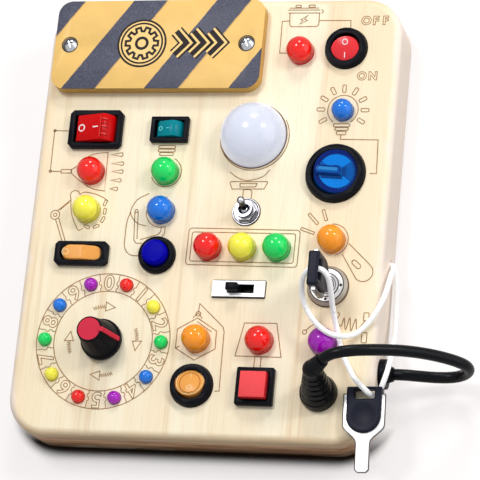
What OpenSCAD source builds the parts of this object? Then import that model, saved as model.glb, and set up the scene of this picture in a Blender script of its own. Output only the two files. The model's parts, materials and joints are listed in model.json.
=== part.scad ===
// Wooden light-and-switch busy board, lying on its back with its face up.
// x runs along the bottom edge, y up the face and z out of the face.
// The origin is on the floor under the middle of the board. Millimetres.

/* [Board] */
// Width of the board
board_w = 138; // [136:1:150]
// Height of the board
board_h = 172; // [170:1:184]
// Thickness of the board
board_t = 20; // [19.5:0.5:24]
// Radius of the board's corners
corner_r = 15; // [12:1:18]
// Rounding of the front edge
front_round = 3; // [1:0.5:4]
// Rounding of the back edge
back_round = 1; // [0.5:0.25:1.5]
// Wood left in front of the rear pocket
face_t = 5; // [4.5:0.25:5.5]
// Wood left round the rear pocket
wall_t = 7; // [6.5:0.5:8]
// Radius of the wooden posts that take the cover screws
post_r = 4.5; // [4:0.25:5]
// Distance of the cover screws from the board's edges
post_inset = 10; // [9:0.5:11]

/* [Columns and rows] */
// Column of the big rocker, the torch light and the lamp light, as a share of the width
col_a_share = -0.33478; // [-0.339:0.0005:-0.331]
// Column of the small rocker and the round button, as a share of the width
col_b_share = -0.1221; // [-0.126:0.0005:-0.118]
// Column of the dome, the toggle and the slide switch, as a share of the width
col_c_share = 0.11449; // [0.111:0.0005:0.118]
// Column of the lock and the plug, as a share of the width
col_d_share = 0.35725; // [0.353:0.0005:0.361]
// Column of the wide and the red round rocker, as a share of the width
round_x_share = 0.35072; // [0.347:0.0005:0.355]
// Column of the dial, as a share of the width
dial_x_share = -0.24928; // [-0.253:0.0005:-0.245]
// Column of the orange rocker, as a share of the width
orange_x_share = 0.01087; // [0.007:0.0005:0.015]
// Column of the square button, as a share of the width
square_x_share = 0.18623; // [0.182:0.0005:0.190]
// Column of the red light beside the round red rocker, as a share of the width
top_light_x_share = 0.22536; // [0.222:0.0005:0.229]
// Middle of the sign along x, as a share of the width
sign_x_share = -0.17609; // [-0.180:0.0005:-0.172]
// Middle of the battery box along x, as a share of the width
box_x_share = -0.17391; // [-0.178:0.0005:-0.170]
// Row of the round red rocker, as a share of the height
row_top_share = 0.38081; // [0.375:0.0005:0.383]
// Row of the red light beside it, as a share of the height
row_top_light_share = 0.37326; // [0.368:0.0005:0.376]
// Row of the small blue light, as a share of the height
row_small_light_share = 0.23605; // [0.230:0.0005:0.238]
// Row of the two rectangular rockers, as a share of the height
row_rockers_share = 0.1907; // [0.187:0.0005:0.195]
// Row of the dome, as a share of the height
row_dome_share = 0.17907; // [0.175:0.0005:0.183]
// Row of the first pair of lights and the wide rocker, as a share of the height
row_lights_a_share = 0.0936; // [0.088:0.0005:0.096]
// Row of the second pair of lights, as a share of the height
row_lights_b_share = 0.00465; // [-0.001:0.0005:0.007]
// Row of the torch light above the lock, as a share of the height
row_torch_share = -0.0564; // [-0.062:0.0005:-0.054]
// Row of the traffic lights, as a share of the height
row_traffic_share = -0.07674; // [-0.082:0.0005:-0.074]
// Row of the boat rocker and the round button, as a share of the height
row_button_share = -0.09593; // [-0.100:0.0005:-0.092]
// Row of the lock, as a share of the height
row_lock_share = -0.1593; // [-0.163:0.0005:-0.155]
// Row of the slide switch, as a share of the height
row_slide_share = -0.1686; // [-0.173:0.0005:-0.165]
// Row of the three lower lights, as a share of the height
row_lights_c_share = -0.28198; // [-0.288:0.0005:-0.280]
// Row of the square button and the orange rocker, as a share of the height
row_bottom_share = -0.38256; // [-0.386:0.0005:-0.379]
// Row of the dial, as a share of the height
dial_y_share = -0.28953; // [-0.294:0.0005:-0.286]
// Middle of the sign along y, as a share of the height
sign_y_share = 0.3843; // [0.380:0.0005:0.388]
// Middle of the battery box along y, as a share of the height
box_y_share = 0.35174; // [0.348:0.0005:0.356]
// Spacing of the traffic lights
traffic_pitch = 13.2; // [12.8:0.1:13.6]
// Spacing of the two lower lights beside the purple one
lower_pitch = 24; // [22:0.5:25]

/* [Lights] */
// Diameter of a large light
led_d = 10; // [9.6:0.1:10.4]
// Diameter of the small blue light
led_mid_d = 8; // [7.6:0.1:8.4]
// Diameter of a dial light
led_small_d = 5; // [4.8:0.1:5.2]
// Straight part of a large light above the face
led_proud = 3; // [2:0.25:4]
// Thickness of a light's rear flange
led_flange_t = 1; // [0.8:0.1:1.2]
// How far a light's flange is wider than the light, all round
led_flange_lip = 0.5; // [0.4:0.1:0.7]
// Length of a light's legs
led_leg = 4; // [3:0.5:4.5]
// Radius of the ring of dial lights
dial_ring_r = 22.6; // [22.2:0.1:23]
// Number of dial lights
dial_lights = 10; // [10:1:10]
// Diameter of the milky dome
dome_d = 25; // [24:0.5:26]
// Straight part of the dome above the face
dome_proud = 1.6; // [1:0.2:2.4]
// Wall of the dome
dome_wall = 1.2; // [1:0.1:1.6]

/* [Rectangular rockers] */
// Length of the big rocker's bezel
big_l = 21; // [20.6:0.1:21.6]
// Height of the big rocker's bezel
big_h = 15; // [14.6:0.1:15.4]
// Length of the small rocker's bezel
small_l = 14.6; // [14.2:0.1:15]
// Height of the small rocker's bezel
small_h = 9.8; // [9.5:0.1:10.2]
// Width of the small rocker's bezel beyond each end of its window
small_rim = 1.5; // [1.4:0.1:1.8]
// Length of the boat rocker's bezel
boat_l = 20.8; // [20.4:0.1:21.2]
// Height of the boat rocker's bezel
boat_h = 9.1; // [8.8:0.1:9.5]
// Width of the bezels at the window's ends
bezel_rim = 2.1; // [1.9:0.1:2.4]
// Width of the narrow bezels along the window's sides
bezel_side = 1.5; // [1.4:0.1:1.8]
// Thickness of a bezel on the face
bezel_t = 2.4; // [2:0.1:2.8]
// Depth of a switch body behind the face plane
switch_depth = 12; // [11:0.5:12.5]
// Tilt of the two rectangular rockers to each side
rocker_tilt = 15; // [10:1:16]
// Tilt of the boat rocker to each side
boat_tilt = 8; // [6:1:10]
// Tilt of the round rockers to each side
round_tilt = 12; // [8:1:13]
// Depth of the rocker pivots below the face plane
pivot_depth = 1.5; // [1:0.25:2]
// Radius of a rocker's pivot pin
pin_r = 0.9; // [0.7:0.1:1.1]

/* [Round rockers and buttons] */
// Diameter of the wide blue rocker's bezel
wide_d = 23; // [22.5:0.1:23.5]
// Diameter of the round red and orange rockers' bezels
round_d = 16.6; // [16.2:0.1:17]
// Width of the wide rocker's bezel round its window
wide_rim = 2.8; // [2.6:0.1:3.2]
// Width of a small round bezel round its window
round_rim = 2.7; // [2.5:0.1:2.9]
// Diameter of the round button's bezel
button_d = 14.6; // [14.2:0.1:15]
// Side of the square button's bezel
square_s = 14; // [13.6:0.1:14.4]
// Diameter of the round button's cap and side of the square one
cap_s = 9.6; // [9.2:0.1:9.8]
// Height of a button's cap above the face
cap_h = 5.5; // [5:0.25:6.5]
// Travel of the buttons
button_travel = 2; // [1.5:0.25:2.5]

/* [Slide, toggle and selector] */
// Length of the slide switch
slide_l = 20; // [19:0.5:21]
// Height of the slide switch
slide_h = 6.8; // [6.5:0.1:7.2]
// Travel of the slide switch's knob
slide_travel = 5.2; // [4:0.2:5.6]
// Length of the slide knob
slide_knob_l = 4.4; // [4:0.2:5]
// Height of the slide knob above the plate
slide_knob_h = 4; // [3:0.25:5]
// Radius of the toggle's threaded bush
bush_r = 3.1; // [3:0.05:3.3]
// Height of the toggle's bush above the face
bush_h = 4.4; // [4:0.2:5]
// Length of the toggle's lever from its pivot
lever_l = 8.5; // [7:0.5:10]
// Tilt of the toggle's lever to each side
lever_tilt = 14; // [10:1:14]
// Diameter of the selector knob's skirt
knob_d = 15.5; // [15:0.25:16]
// Diameter of the selector knob's top
knob_top_d = 9.4; // [9:0.1:10]
// Height of the selector knob
knob_h = 16; // [14:0.5:18]
// Radius of the selector's shaft
shaft_r = 3; // [2.8:0.05:3.1]

/* [Lock, keys and plug] */
// Diameter of the lock's bezel
lock_d = 15; // [14.6:0.1:15.4]
// Radius of the lock's barrel
barrel_r = 6; // [5.8:0.1:6.2]
// Radius of the lock's turning core
core_r = 4.2; // [4:0.1:4.4]
// Width of a key's blade
blade_w = 5; // [4.6:0.1:5.2]
// Thickness of a key's steel
blade_t = 1.6; // [1.4:0.1:1.8]
// Length of a key's blade up to its shoulder
blade_l = 10.6; // [10:0.1:11]
// Width of a key's steel round its grip
key_w = 15.2; // [14.8:0.1:15.8]
// Width of a key's grip
grip_w = 12.8; // [12.4:0.1:13.2]
// Thickness of a key's grip
grip_t = 4.3; // [4:0.1:4.8]
// Length of a key's grip
grip_l = 17; // [16.5:0.1:17.4]
// Diameter of the socket's flange and the plug's foot
plug_d = 13.8; // [13.4:0.1:14.2]
// Radius of the plug's pin
plug_pin_r = 2.7; // [2.5:0.05:2.75]
// Length of the plug's tapered grip
plug_l = 15.5; // [14:0.5:16]
// Diameter of the black lead
cable_d = 4.2; // [4:0.1:4.4]
// Diameter of the white string
string_d = 2; // [1.8:0.1:2.2]

/* [Sign] */
// Length of the striped sign
sign_l = 82.5; // [80:0.5:84]
// Height of the striped sign
sign_h = 36; // [34:0.5:37]
// Thickness of the striped sign
sign_t = 5; // [4:0.25:6]
// Corner radius of the striped sign
sign_r = 5.5; // [4:0.5:7]
// Distance between the sign's screws
sign_screw_pitch = 70.4; // [68:0.2:72]

/* [Rear] */
// Thickness of the rear cover
cover_t = 2.4; // [2.2:0.1:2.6]
// Width of the ledge that the cover sits on
cover_ledge = 3; // [2.5:0.25:3.5]
// How far the cover lies in from the board's back
cover_set_in = 0.3; // [0.2:0.05:0.4]
// Diameter of a battery cell
cell_d = 10.2; // [10:0.1:10.4]
// Length of a battery cell
cell_l = 43.6; // [43:0.2:44]
// Number of cells side by side
cells = 3; // [3:1:3]
// Wall of the battery box
box_wall = 1.1; // [1:0.1:1.3]
// Radius of the cover screws' heads
screw_head_r = 2.6; // [2.4:0.1:2.8]
// Radius of the cover screws' shanks
screw_r = 1.3; // [1.2:0.05:1.4]
// Length of the cover screws
screw_l = 9; // [8:0.5:10]

/* [Hidden] */

$fn = 48;
eps = 0.01;             // overshoot of a cut past a face
slip = 0.2;             // clearance of a part in its panel hole
run = 0.05;             // running clearance of a pin or shaft
part_gap = 0.3;         // clearance between parts that move past each other
cord_gap = 0.1;         // between the plug's sleeve and the lead's end
face_z = board_t;       // plane of the face
pocket_z = board_t - face_t;                   // ceiling of the rear pocket
inside_z = cover_set_in + cover_t;             // inner face of the rear cover
pocket_w = board_w - 2 * wall_t;
pocket_h = board_h - 2 * wall_t;
pocket_r = max(corner_r - wall_t, 3);
side_x = board_w / 2;   // right-hand side of the board
post_x = board_w / 2 - post_inset;
post_y = board_h / 2 - post_inset;
post_places = [for (x = [-post_x, post_x], y = [-post_y, 0, post_y]) [x, y]];

// Columns and rows of the face
col_a = col_a_share * board_w;
col_b = col_b_share * board_w;
col_c = col_c_share * board_w;
col_d = col_d_share * board_w;
round_x = round_x_share * board_w;
dial_x = dial_x_share * board_w;
orange_x = orange_x_share * board_w;
square_x = square_x_share * board_w;
top_light_x = top_light_x_share * board_w;
sign_x = sign_x_share * board_w;
box_x = box_x_share * board_w;
row_top = row_top_share * board_h;
row_top_light = row_top_light_share * board_h;
row_small_light = row_small_light_share * board_h;
row_rockers = row_rockers_share * board_h;
row_dome = row_dome_share * board_h;
row_lights_a = row_lights_a_share * board_h;
row_lights_b = row_lights_b_share * board_h;
row_torch = row_torch_share * board_h;
row_traffic = row_traffic_share * board_h;
row_button = row_button_share * board_h;
row_lock = row_lock_share * board_h;
row_slide = row_slide_share * board_h;
row_lights_c = row_lights_c_share * board_h;
row_bottom = row_bottom_share * board_h;
dial_y = dial_y_share * board_h;
sign_y = sign_y_share * board_h;
box_y = box_y_share * board_h;

// Switch bodies behind the bezels
body_step = 0.8;        // how far a switch body is smaller than its bezel, all round
pivot_z = face_z - pivot_depth;
switch_floor_z = face_z - switch_depth;
window_gap = 0.25;      // between a rocker and its window
pin_short = 0.1;        // how far a pin stops short of its body's outside
tag_l = 3;              // solder tags under the switches
tag_w = 2.4;
tag_t = 0.5;
tag_pitch = 9;          // between the tags of a large switch
tag_pitch_small = 6;
big_window_l = big_l - 2 * bezel_rim;
big_window_h = big_h - 2 * bezel_rim;
small_window_l = small_l - 2 * small_rim;
small_window_h = small_h - 2 * bezel_side;
boat_window_l = boat_l - 2 * bezel_rim;
boat_window_h = boat_h - 2 * bezel_side;
wide_window_d = wide_d - 2 * wide_rim;
round_window_d = round_d - 2 * round_rim;
big_top = 5.8;          // tops of the paddles over their pivots
small_top = 4.8;
boat_top = 5.3;
wide_top = 4.6;
round_top = 4.2;
paddle_depth = 2.2;     // depth of a paddle below its pivot
wide_bar_h = 1.2;       // raised bar on the wide rocker
wide_bar_w = 3.2;
wide_bar_l = 9.6;

// Lights
led_mid_proud = 2.2;
led_small_proud = 0.8;
leg_r = 0.3;
leg_pitch = 2.54;
light_slip = 0.1;
light_sides = 16;       // facets of the thin legs
red_places = [[top_light_x, row_top_light], [col_a, row_lights_a],
    [col_c - traffic_pitch, row_traffic], [square_x, row_lights_c]];
yellow_places = [[col_a, row_lights_b], [col_c, row_traffic]];
green_places = [[col_b, row_lights_a], [col_c + traffic_pitch, row_traffic]];
blue_places = [[col_b, row_lights_b]];
purple_places = [[col_d, row_lights_c]];
orange_places = [[col_d, row_torch], [square_x - lower_pitch, row_lights_c]];
dome_r = dome_d / 2;
dome_drop = 1.4;        // how far the dome's ball sits below its rim
dome_flange_r = dome_r + 1.4;
dome_flange_t = 1.2;
dome_base_t = 1.6;
dome_chip_w = 5;
dome_chip_h = 1.2;

// Buttons
button_window = cap_s + 2 * part_gap;
button_stem_r = 2;
cap_skirt = 1.5;        // depth of a cap below the face
cap_bevel = 0.8;
button_floor_t = 1.2;
spring_wire = 0.6;
spring_r = button_stem_r + spring_wire + 0.4;
spring_turns = 4;
spring_z = switch_floor_z + button_floor_t;
spring_h = face_z - cap_skirt - spring_z;

// Slide switch
slide_body_d = 7;
slide_rim_t = 0.5;
slide_plate_t = 0.6;
slide_plate_in = 0.4;
slide_cavity_d = 3;
slide_x = col_c + 0.1;
slide_slot_l = slide_knob_l + slide_travel + 2 * part_gap;
slide_knob_w = 2.8;
slide_slot_h = slide_knob_w + 2 * part_gap;
slide_knob_x = slide_x + 0.8 - slide_travel / 2;
slide_slot_x = slide_knob_x - slide_knob_l / 2;

// Toggle
toggle_y = row_lights_b;
toggle_pivot_z = face_z + 2;
toggle_ball_r = 2.1;
toggle_ball_seat = 1.4; // depth of the bore below the ball
toggle_pin_r = 0.6;
toggle_pin_l = 5;
toggle_case_w = 7.8;
toggle_case_l = 12.8;
toggle_case_h = 8.6;
washer_r = 5.2;
washer_t = 0.7;
nut_t = 2;
nut_slip = 0.05;
lever_tip_r = 1.5;
lever_neck_r = 0.9;

// Selector
selector_case_r = 12;
selector_case_h = 9;
selector_bush_r = shaft_r + 0.8;
selector_bush_h = 2.4;
selector_nut_r = 5.8;
knob_foot_z = face_z + 0.8;
knob_skirt_h = 3;
knob_skirt_edge = 0.8;
knob_recess_r = selector_nut_r + 0.6;
knob_recess_h = 3;
knob_bore_h = knob_h - 4;
knob_cap_t = 0.8;
knob_cap_rim = 0.5;
pointer_w = 1.7;
pointer_lift = 0.6;
shaft_foot_z = pocket_z - selector_case_h + 1.5;
shaft_short = 0.2;

// Circuit board behind the dial
ring_board_in = selector_case_r + 1.2;
ring_board_out = dial_ring_r + 3.2;
ring_board_t = 1.6;
ring_board_z = pocket_z - led_flange_t - ring_board_t;
ring_hole_r = 0.5;

// Lock and keys
lock_bezel_h = 2.6;
lock_bevel = 1.2;
lock_floor_t = 1.2;
lock_floor_z = inside_z + 2.6;
lock_nut_r = 8;
lock_nut_t = 3;
lock_dot_r = 0.5;
core_top_z = face_z + lock_bezel_h + 0.2;
key_slot_t = blade_t + 0.3;
key_slot_w = blade_w + 0.3;
key_taper_l = 6.6;
key_steel_l = 28.4;
key_total_l = 31;
key_nose = 1;           // cut corners at a blade's tip
shoulder_steps = 6;     // points of the curve from blade to grip
grip_start = key_total_l - grip_l;
grip_slot_w = 7.6;
grip_slot_h = 3.4;
grip_slot_in = 2.7;     // middle of the string slot from the grip's end
grip_slot_edge = 0.2;   // how far the steel stays back from the slot
dimple_r = 4.6;
dimple_d = 0.5;
key_stand = 1.4;        // how far a key's shoulder stays above the core
key_tip_z = core_top_z - blade_l + key_stand;
key_two_pos = [side_x - 1.2, row_lock - 68.7];
key_two_turn = 2;       // degrees that the loose key leans over

// Plug, socket and gland
plug_y = row_bottom - 1.4;
socket_flange_t = 1.2;
socket_barrel_r = 5.2;
socket_depth = 12;
socket_floor_t = 1.2;
plug_foot_t = 2.7;
plug_foot_bevel = 0.6;
plug_foot_z = face_z + socket_flange_t;
plug_pin_l = 9;
plug_lean = 17;
plug_swing = -16;       // direction of the lean, from straight up the board
plug_sink = 1;          // how far the leaning grip starts inside its foot
plug_root = 2.4;        // part of the grip that goes on down into the foot
plug_neck_r = 3.3;
plug_grip_r = plug_d / 2 - 0.8;
plug_ribs = 5;
rib_depth = 0.45;
knuckle_r = 3.5;
sleeve_end_r = cable_d / 2 + 0.5;
gland_y = row_bottom + 8.8;
gland_z = 10;
gland_flange_r = 5.5;
gland_flange_t = 2.5;
gland_nose_r = 3.4;
gland_nose_l = 2.4;
gland_inside_l = 3;
gland_end_t = 1;        // solid end of the gland's nose
string_hole_y = row_lock + 12.2;
string_hole_z = 7;
string_hole_r = string_d + 0.4;

// Middle of the ball at the top of the plug's grip
plug_lean_dir = [-sin(plug_swing) * sin(plug_lean), cos(plug_swing) * sin(plug_lean), cos(plug_lean)];
plug_base = [col_d, plug_y, plug_foot_z + plug_foot_t - plug_sink];
plug_knuckle = plug_base + plug_l * plug_lean_dir;

// Battery compartment
cell_pitch = cell_d + 0.5;
cell_nub_r = 1.9;
cell_nub_h = 0.8;
cell_z = inside_z + part_gap + cell_d / 2;
cell_shift = 2;         // cells lie nearer to their flat contacts
contact_t = 0.5;
contact_s = 8;
contact_cone_r = 3.4;
box_in_l = cell_l + 8;
box_in_h = cells * cell_pitch + 0.4;
box_out_l = box_in_l + 2 * box_wall;
box_out_h = box_in_h + 2 * box_wall;
box_top_z = pocket_z - slip;
door_lip = 1.2;         // thickness of the door's outer step
door_inset = 0.5;       // the door's opening is smaller than the box, all round
door_tongue = 8;        // part of the door that carries its screw
door_edge = 1.2;        // how far the door's step is wider than the box
door_l = box_out_l + door_tongue + door_edge;
door_h = box_out_h + 2 * door_edge;
door_x = box_x + (door_tongue - door_edge) / 2 + door_edge / 2;
door_screw_x = box_x + box_out_l / 2 + door_tongue / 2;
door_boss_r = 3.2;
door_boss_h = 6;
door_screw_r = screw_r - 0.1;
grip_lines = 5;         // finger grooves of the door
grip_line_pitch = 3;

// Sign fixings
sign_screw_head_r = 2.9;
sign_screw_head_h = 1.6;
sign_screw_ball_r = 3.6;
sign_screw_r = 1.4;
sign_screw_l = 8.5;
cross_l = 3.4;          // cross recess of a screw's head
cross_w = 0.6;
cross_d = 0.9;
sign_screw_places = [sign_x - sign_screw_pitch / 2, sign_x + sign_screw_pitch / 2];

// Wiring
wire_r = 0.8;
branch_r = 0.65;        // thinner wires that branch off
wire_joint_r = 1.2;     // taped joints
wire_z = inside_z + wire_joint_r + 0.1;
wire_end_x = side_x - wall_t - gland_inside_l - 2;

// Moves a route's points with the piece at its inner end and the board's side at its outer end.
// Both are given as their places in the route's list and their places on the board.
function followed(points, inner_was, inner, side_was, side) = [for (p = points)
    let (share = min(max((side_was[0] - p[0]) / (side_was[0] - inner_was[0]), 0), 1))
    p + share * (inner - inner_was) + (1 - share) * (side - side_was)];

// Route of the black lead, from the plug's sleeve round to the gland
cable_points = followed([[54.8, -60.3, 41.4], [56, -59.6, 42.4], [58, -58.9, 43.4], [60.6, -58.2, 43.8],
    [63.4, -57.6, 43.5], [67, -56.8, 42.3], [71.5, -56, 40.2], [76.5, -55.2, 37.5], [81.6, -54.5, 34.4],
    [86.6, -54.1, 31], [91.2, -54, 27.7], [95.4, -54.1, 24.1], [99.1, -54.4, 20.4], [101.3, -54.8, 16.8],
    [101.7, -55.3, 12.9], [99.9, -55.9, 9.3], [96.6, -56.4, 7.1], [92.6, -56.7, 6.5], [88, -56.9, 7.2],
    [83, -57, 8.7], [78.6, -57, 9.8], [76, -57, 10], [73.9, -57, 10]],
    [49.3, -67.2, 20], [col_d, plug_y, face_z], [69, -57, 10], [side_x, gland_y, gland_z]);

// Route of the white string: hole, loose key, lock's key and back to the hole
string_points = followed([[65, -15.2, 5.9], [68.6, -15.2, 5.9], [70.4, -16.8, 5.7], [71, -20, 5.3],
    [71.4, -26, 4.6], [71.8, -33, 4.5], [72.2, -39, 5.5], [72.6, -44.4, 8.1], [73, -50.2, 12],
    [72.7, -56.4, 15.1], [71.9, -61.5, 16.8], [70.9, -65, 17.3], [69.9, -67, 18.7], [69, -67.5, 21.4],
    [68.3, -67.5, 24.4], [67.2, -66.6, 25.9], [65.2, -64.8, 26.1], [62.6, -62, 24.6],
    [60.2, -58.2, 22.6], [57.9, -54.2, 21.5], [56.1, -49.9, 21.3], [55.1, -46, 21.4],
    [54.2, -42.4, 23], [53.8, -38.9, 26.8], [53.9, -35.4, 31.6], [54.1, -32, 36.2],
    [53.7, -29.2, 39.9], [52, -27.5, 41.6], [49.2, -27.1, 41.8], [46.6, -27.8, 41.2],
    [44.5, -29.6, 38.6], [43.4, -32.4, 35], [43.5, -35.6, 32.1], [44.7, -38.8, 30.3],
    [46.7, -41.9, 29.5], [49.4, -44.7, 29.1], [52.4, -46.7, 28], [55.5, -47.3, 25.9],
    [58.7, -46.7, 23.3], [61.5, -45.1, 21.6], [64.2, -42.6, 21.3], [66.7, -39.4, 21.3],
    [68.9, -35.4, 21.2], [70.5, -30.8, 20.4], [71.2, -25.4, 18], [71, -20.6, 13.8],
    [70.8, -17, 9.8], [69.9, -15.4, 8.2], [68.2, -15.2, 8.1], [65, -15.2, 8.1]],
    [49.3, -27.4, 20], [col_d, row_lock, face_z], [69, -15.2, 7], [side_x, string_hole_y, string_hole_z]);

function vec_unit(v) = v / norm(v);

// Direction of a route at one of its points.
function route_dir(p, k) = vec_unit(p[min(k + 1, len(p) - 1)] - p[max(k - 1, 0)]);

// Sideways axes carried along a route without twisting.
function carried(side, dir) = vec_unit(side - (side * dir) * dir);
function side_axes(p, k = 0, side = [0, 0.3, 1]) =
    k == len(p) ? [] : let (s = carried(side, route_dir(p, k))) concat([s], side_axes(p, k + 1, s));

/* Shared shapes */

module at(x, y, z = 0) {
    translate([x, y, z]) children();
}

module centred_box(l, h, z, t) {
    at(-l / 2, -h / 2, z) cube([l, h, t]);
}

// Flat plate with round corners, centred.
module rounded_plate(w, h, t, r) {
    linear_extrude(t) {
        square([w - 2 * r, h], center = true);
        square([w, h - 2 * r], center = true);
        for (x = [-1, 1], y = [-1, 1])
            translate([x * (w / 2 - r), y * (h / 2 - r)]) circle(r);
    }
}

// Half of a section through a plate with a rounded front and back edge.
module edge_section(reach, t, front, back) {
    square([reach - max(front, back), t]);
    translate([0, back]) square([reach, t - front - back]);
    translate([reach - front, t - front]) circle(front);
    translate([reach - back, back]) circle(back);
}

// Plate with round corners whose front and back edges are rounded too.
module soft_edged_plate(w, h, t, r, front, back) {
    for (x = [-1, 1], y = [-1, 1])
        at(x * (w / 2 - r), y * (h / 2 - r)) rotate_extrude() intersection() {
            edge_section(r, t, front, back);
            square([r + 1, t]);
        }
    for (side = [0, 1]) mirror([side, 0, 0])
        rotate([90, 0, 0]) at(0, 0, -(h / 2 - r))
            linear_extrude(h - 2 * r) edge_section(w / 2, t, front, back);
    for (side = [0, 1]) mirror([0, side, 0])
        rotate([90, 0, 90]) at(0, 0, -(w / 2 - r))
            linear_extrude(w - 2 * r) edge_section(h / 2, t, front, back);
}

// Rectangle with its corners cut off.
module cut_corner_plate(w, h, t, c) {
    linear_extrude(t) polygon([[-w / 2 + c, -h / 2], [w / 2 - c, -h / 2], [w / 2, -h / 2 + c],
        [w / 2, h / 2 - c], [w / 2 - c, h / 2], [-w / 2 + c, h / 2], [-w / 2, h / 2 - c],
        [-w / 2, -h / 2 + c]]);
}

/* Wood and sign */

// Moves to dial light number k, counted clockwise from the first one after the top.
module dial_place(k) {
    angle = 90 - 360 / dial_lights * (k + 0.5);
    at(dial_x + dial_ring_r * cos(angle), dial_y + dial_ring_r * sin(angle)) children();
}

module light_holes() {
    large = concat(red_places, yellow_places, green_places, blue_places, purple_places, orange_places);
    for (p = large) panel_hole_round(p[0], p[1], led_d / 2 + light_slip);
    panel_hole_round(col_d, row_small_light, led_mid_d / 2 + light_slip);
    for (k = [0 : dial_lights - 1]) dial_place(k) panel_hole_round(0, 0, led_small_d / 2 + light_slip);
}

module panel_hole_round(x, y, r) {
    at(x, y, pocket_z - eps) cylinder(r = r, h = face_t + 2 * eps);
}

// Room for the body of a round switch whose bezel measures d, down to the body's floor.
module switch_room_round(x, y, d) {
    at(x, y, switch_floor_z - slip) cylinder(r = d / 2 - body_step + slip, h = board_t);
}

// Room for the body of a switch whose bezel measures l by h.
module switch_room_rect(x, y, l, h) {
    step = body_step - slip;
    at(x, y) centred_box(l - 2 * step, h - 2 * step, switch_floor_z - slip, board_t);
}

// Room in the walls and posts for the battery box and the dial's circuit board.
module inner_rooms() {
    at(box_x, box_y)
        centred_box(box_out_l + 2 * slip, box_out_h + 2 * slip, inside_z - eps, pocket_z - inside_z);
    at(dial_x, dial_y, ring_board_z - slip)
        cylinder(r = ring_board_out + slip, h = pocket_z - ring_board_z + slip - eps);
}

// Hole through the right-hand wall.
module side_hole(y, z, r) {
    at(side_x - wall_t - 1, y, z) rotate([0, 90, 0]) cylinder(r = r, h = wall_t + 2);
}

module board_block() {
    color("burlywood") difference() {
        soft_edged_plate(board_w, board_h, board_t, corner_r, front_round, back_round);
        difference() {
            at(0, 0, -1) rounded_plate(pocket_w, pocket_h, pocket_z + 1, pocket_r);
            for (p = post_places) at(p[0], p[1], inside_z) cylinder(r = post_r, h = board_t);
        }
        at(0, 0, -1) rounded_plate(pocket_w + 2 * cover_ledge, pocket_h + 2 * cover_ledge,
            inside_z + 1, pocket_r + cover_ledge);
        for (p = post_places)
            at(p[0], p[1], inside_z - eps) cylinder(r = screw_r + run, h = screw_l - cover_t + 1);
        light_holes();
        panel_hole_round(col_c, row_dome, dome_r + light_slip);
        inner_rooms();
        switch_room_rect(col_a, row_rockers, big_l, big_h);
        switch_room_rect(col_b, row_rockers, small_l, small_h);
        switch_room_rect(col_a, row_button, boat_l, boat_h);
        switch_room_round(round_x, row_lights_a, wide_d);
        switch_room_round(round_x, row_top, round_d);
        switch_room_round(orange_x, row_bottom, round_d);
        switch_room_round(col_b, row_button, button_d);
        switch_room_rect(square_x, row_bottom, square_s, square_s);
        switch_room_rect(slide_x, row_slide, slide_l, slide_h);
        panel_hole_round(col_c, toggle_y, bush_r + light_slip);
        panel_hole_round(col_d, row_lock, barrel_r + light_slip);
        panel_hole_round(dial_x, dial_y, selector_bush_r + light_slip);
        panel_hole_round(col_d, plug_y, socket_barrel_r + light_slip);
        side_hole(gland_y, gland_z, gland_nose_r + light_slip);
        side_hole(string_hole_y, string_hole_z, string_hole_r);
        for (x = sign_screw_places)
            at(x, sign_y, face_z - sign_screw_l + sign_t) cylinder(r = sign_screw_r, h = sign_screw_l);
    }
}

module sign_plate() {
    color("goldenrod") difference() {
        at(sign_x, sign_y, face_z) rounded_plate(sign_l, sign_h, sign_t, sign_r);
        for (x = sign_screw_places)
            at(x, sign_y, face_z - 1) cylinder(r = sign_screw_r + run, h = sign_t + 2);
    }
}

// Domed screws with a cross recess.
module sign_screws() {
    color("silver") for (x = sign_screw_places) at(x, sign_y, face_z + sign_t) difference() {
        union() {
            intersection() {
                at(0, 0, sign_screw_head_h - sign_screw_ball_r) sphere(r = sign_screw_ball_r);
                cylinder(r = sign_screw_head_r, h = sign_screw_head_h + 1);
            }
            at(0, 0, -sign_screw_l) cylinder(r = sign_screw_r, h = sign_screw_l + eps);
        }
        for (turn = [20, 110]) rotate([0, 0, turn])
            centred_box(cross_l, cross_w, sign_screw_head_h - cross_d, 2);
    }
}

/* Rear cover and battery compartment */

module countersunk_screw(r, length) {
    cylinder(r1 = screw_head_r, r2 = r, h = screw_head_r - r);
    cylinder(r = r, h = length);
}

module rear_screws() {
    color("silver") {
        for (p = post_places) at(p[0], p[1], cover_set_in) countersunk_screw(screw_r, screw_l);
        at(door_screw_x, box_y, cover_set_in) countersunk_screw(door_screw_r, door_boss_h);
    }
}

module screw_sink() {
    at(0, 0, -eps) cylinder(r1 = screw_head_r + run + eps, r2 = screw_r + run,
        h = screw_head_r - screw_r + eps);
    cylinder(r = screw_r + run, h = screw_l);
}

module rear_cover() {
    cover_r = pocket_r + cover_ledge - slip;
    color("tan") difference() {
        union() {
            at(0, 0, cover_set_in) rounded_plate(pocket_w + 2 * (cover_ledge - slip),
                pocket_h + 2 * (cover_ledge - slip), cover_t, cover_r);
            at(door_screw_x, box_y, inside_z - eps) cylinder(r = door_boss_r, h = door_boss_h);
        }
        for (p = post_places) at(p[0], p[1], cover_set_in) screw_sink();
        at(box_x, box_y) centred_box(box_in_l - 2 * door_inset, box_in_h - 2 * door_inset, -1, board_t);
        at(door_x, box_y)
            centred_box(door_l + 2 * slip, door_h + 2 * slip, -1, cover_set_in + door_lip + 1);
        at(door_screw_x, box_y, cover_set_in + door_lip - eps)
            cylinder(r = door_screw_r, h = cover_t - door_lip + door_boss_h - 1);
    }
}

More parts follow.
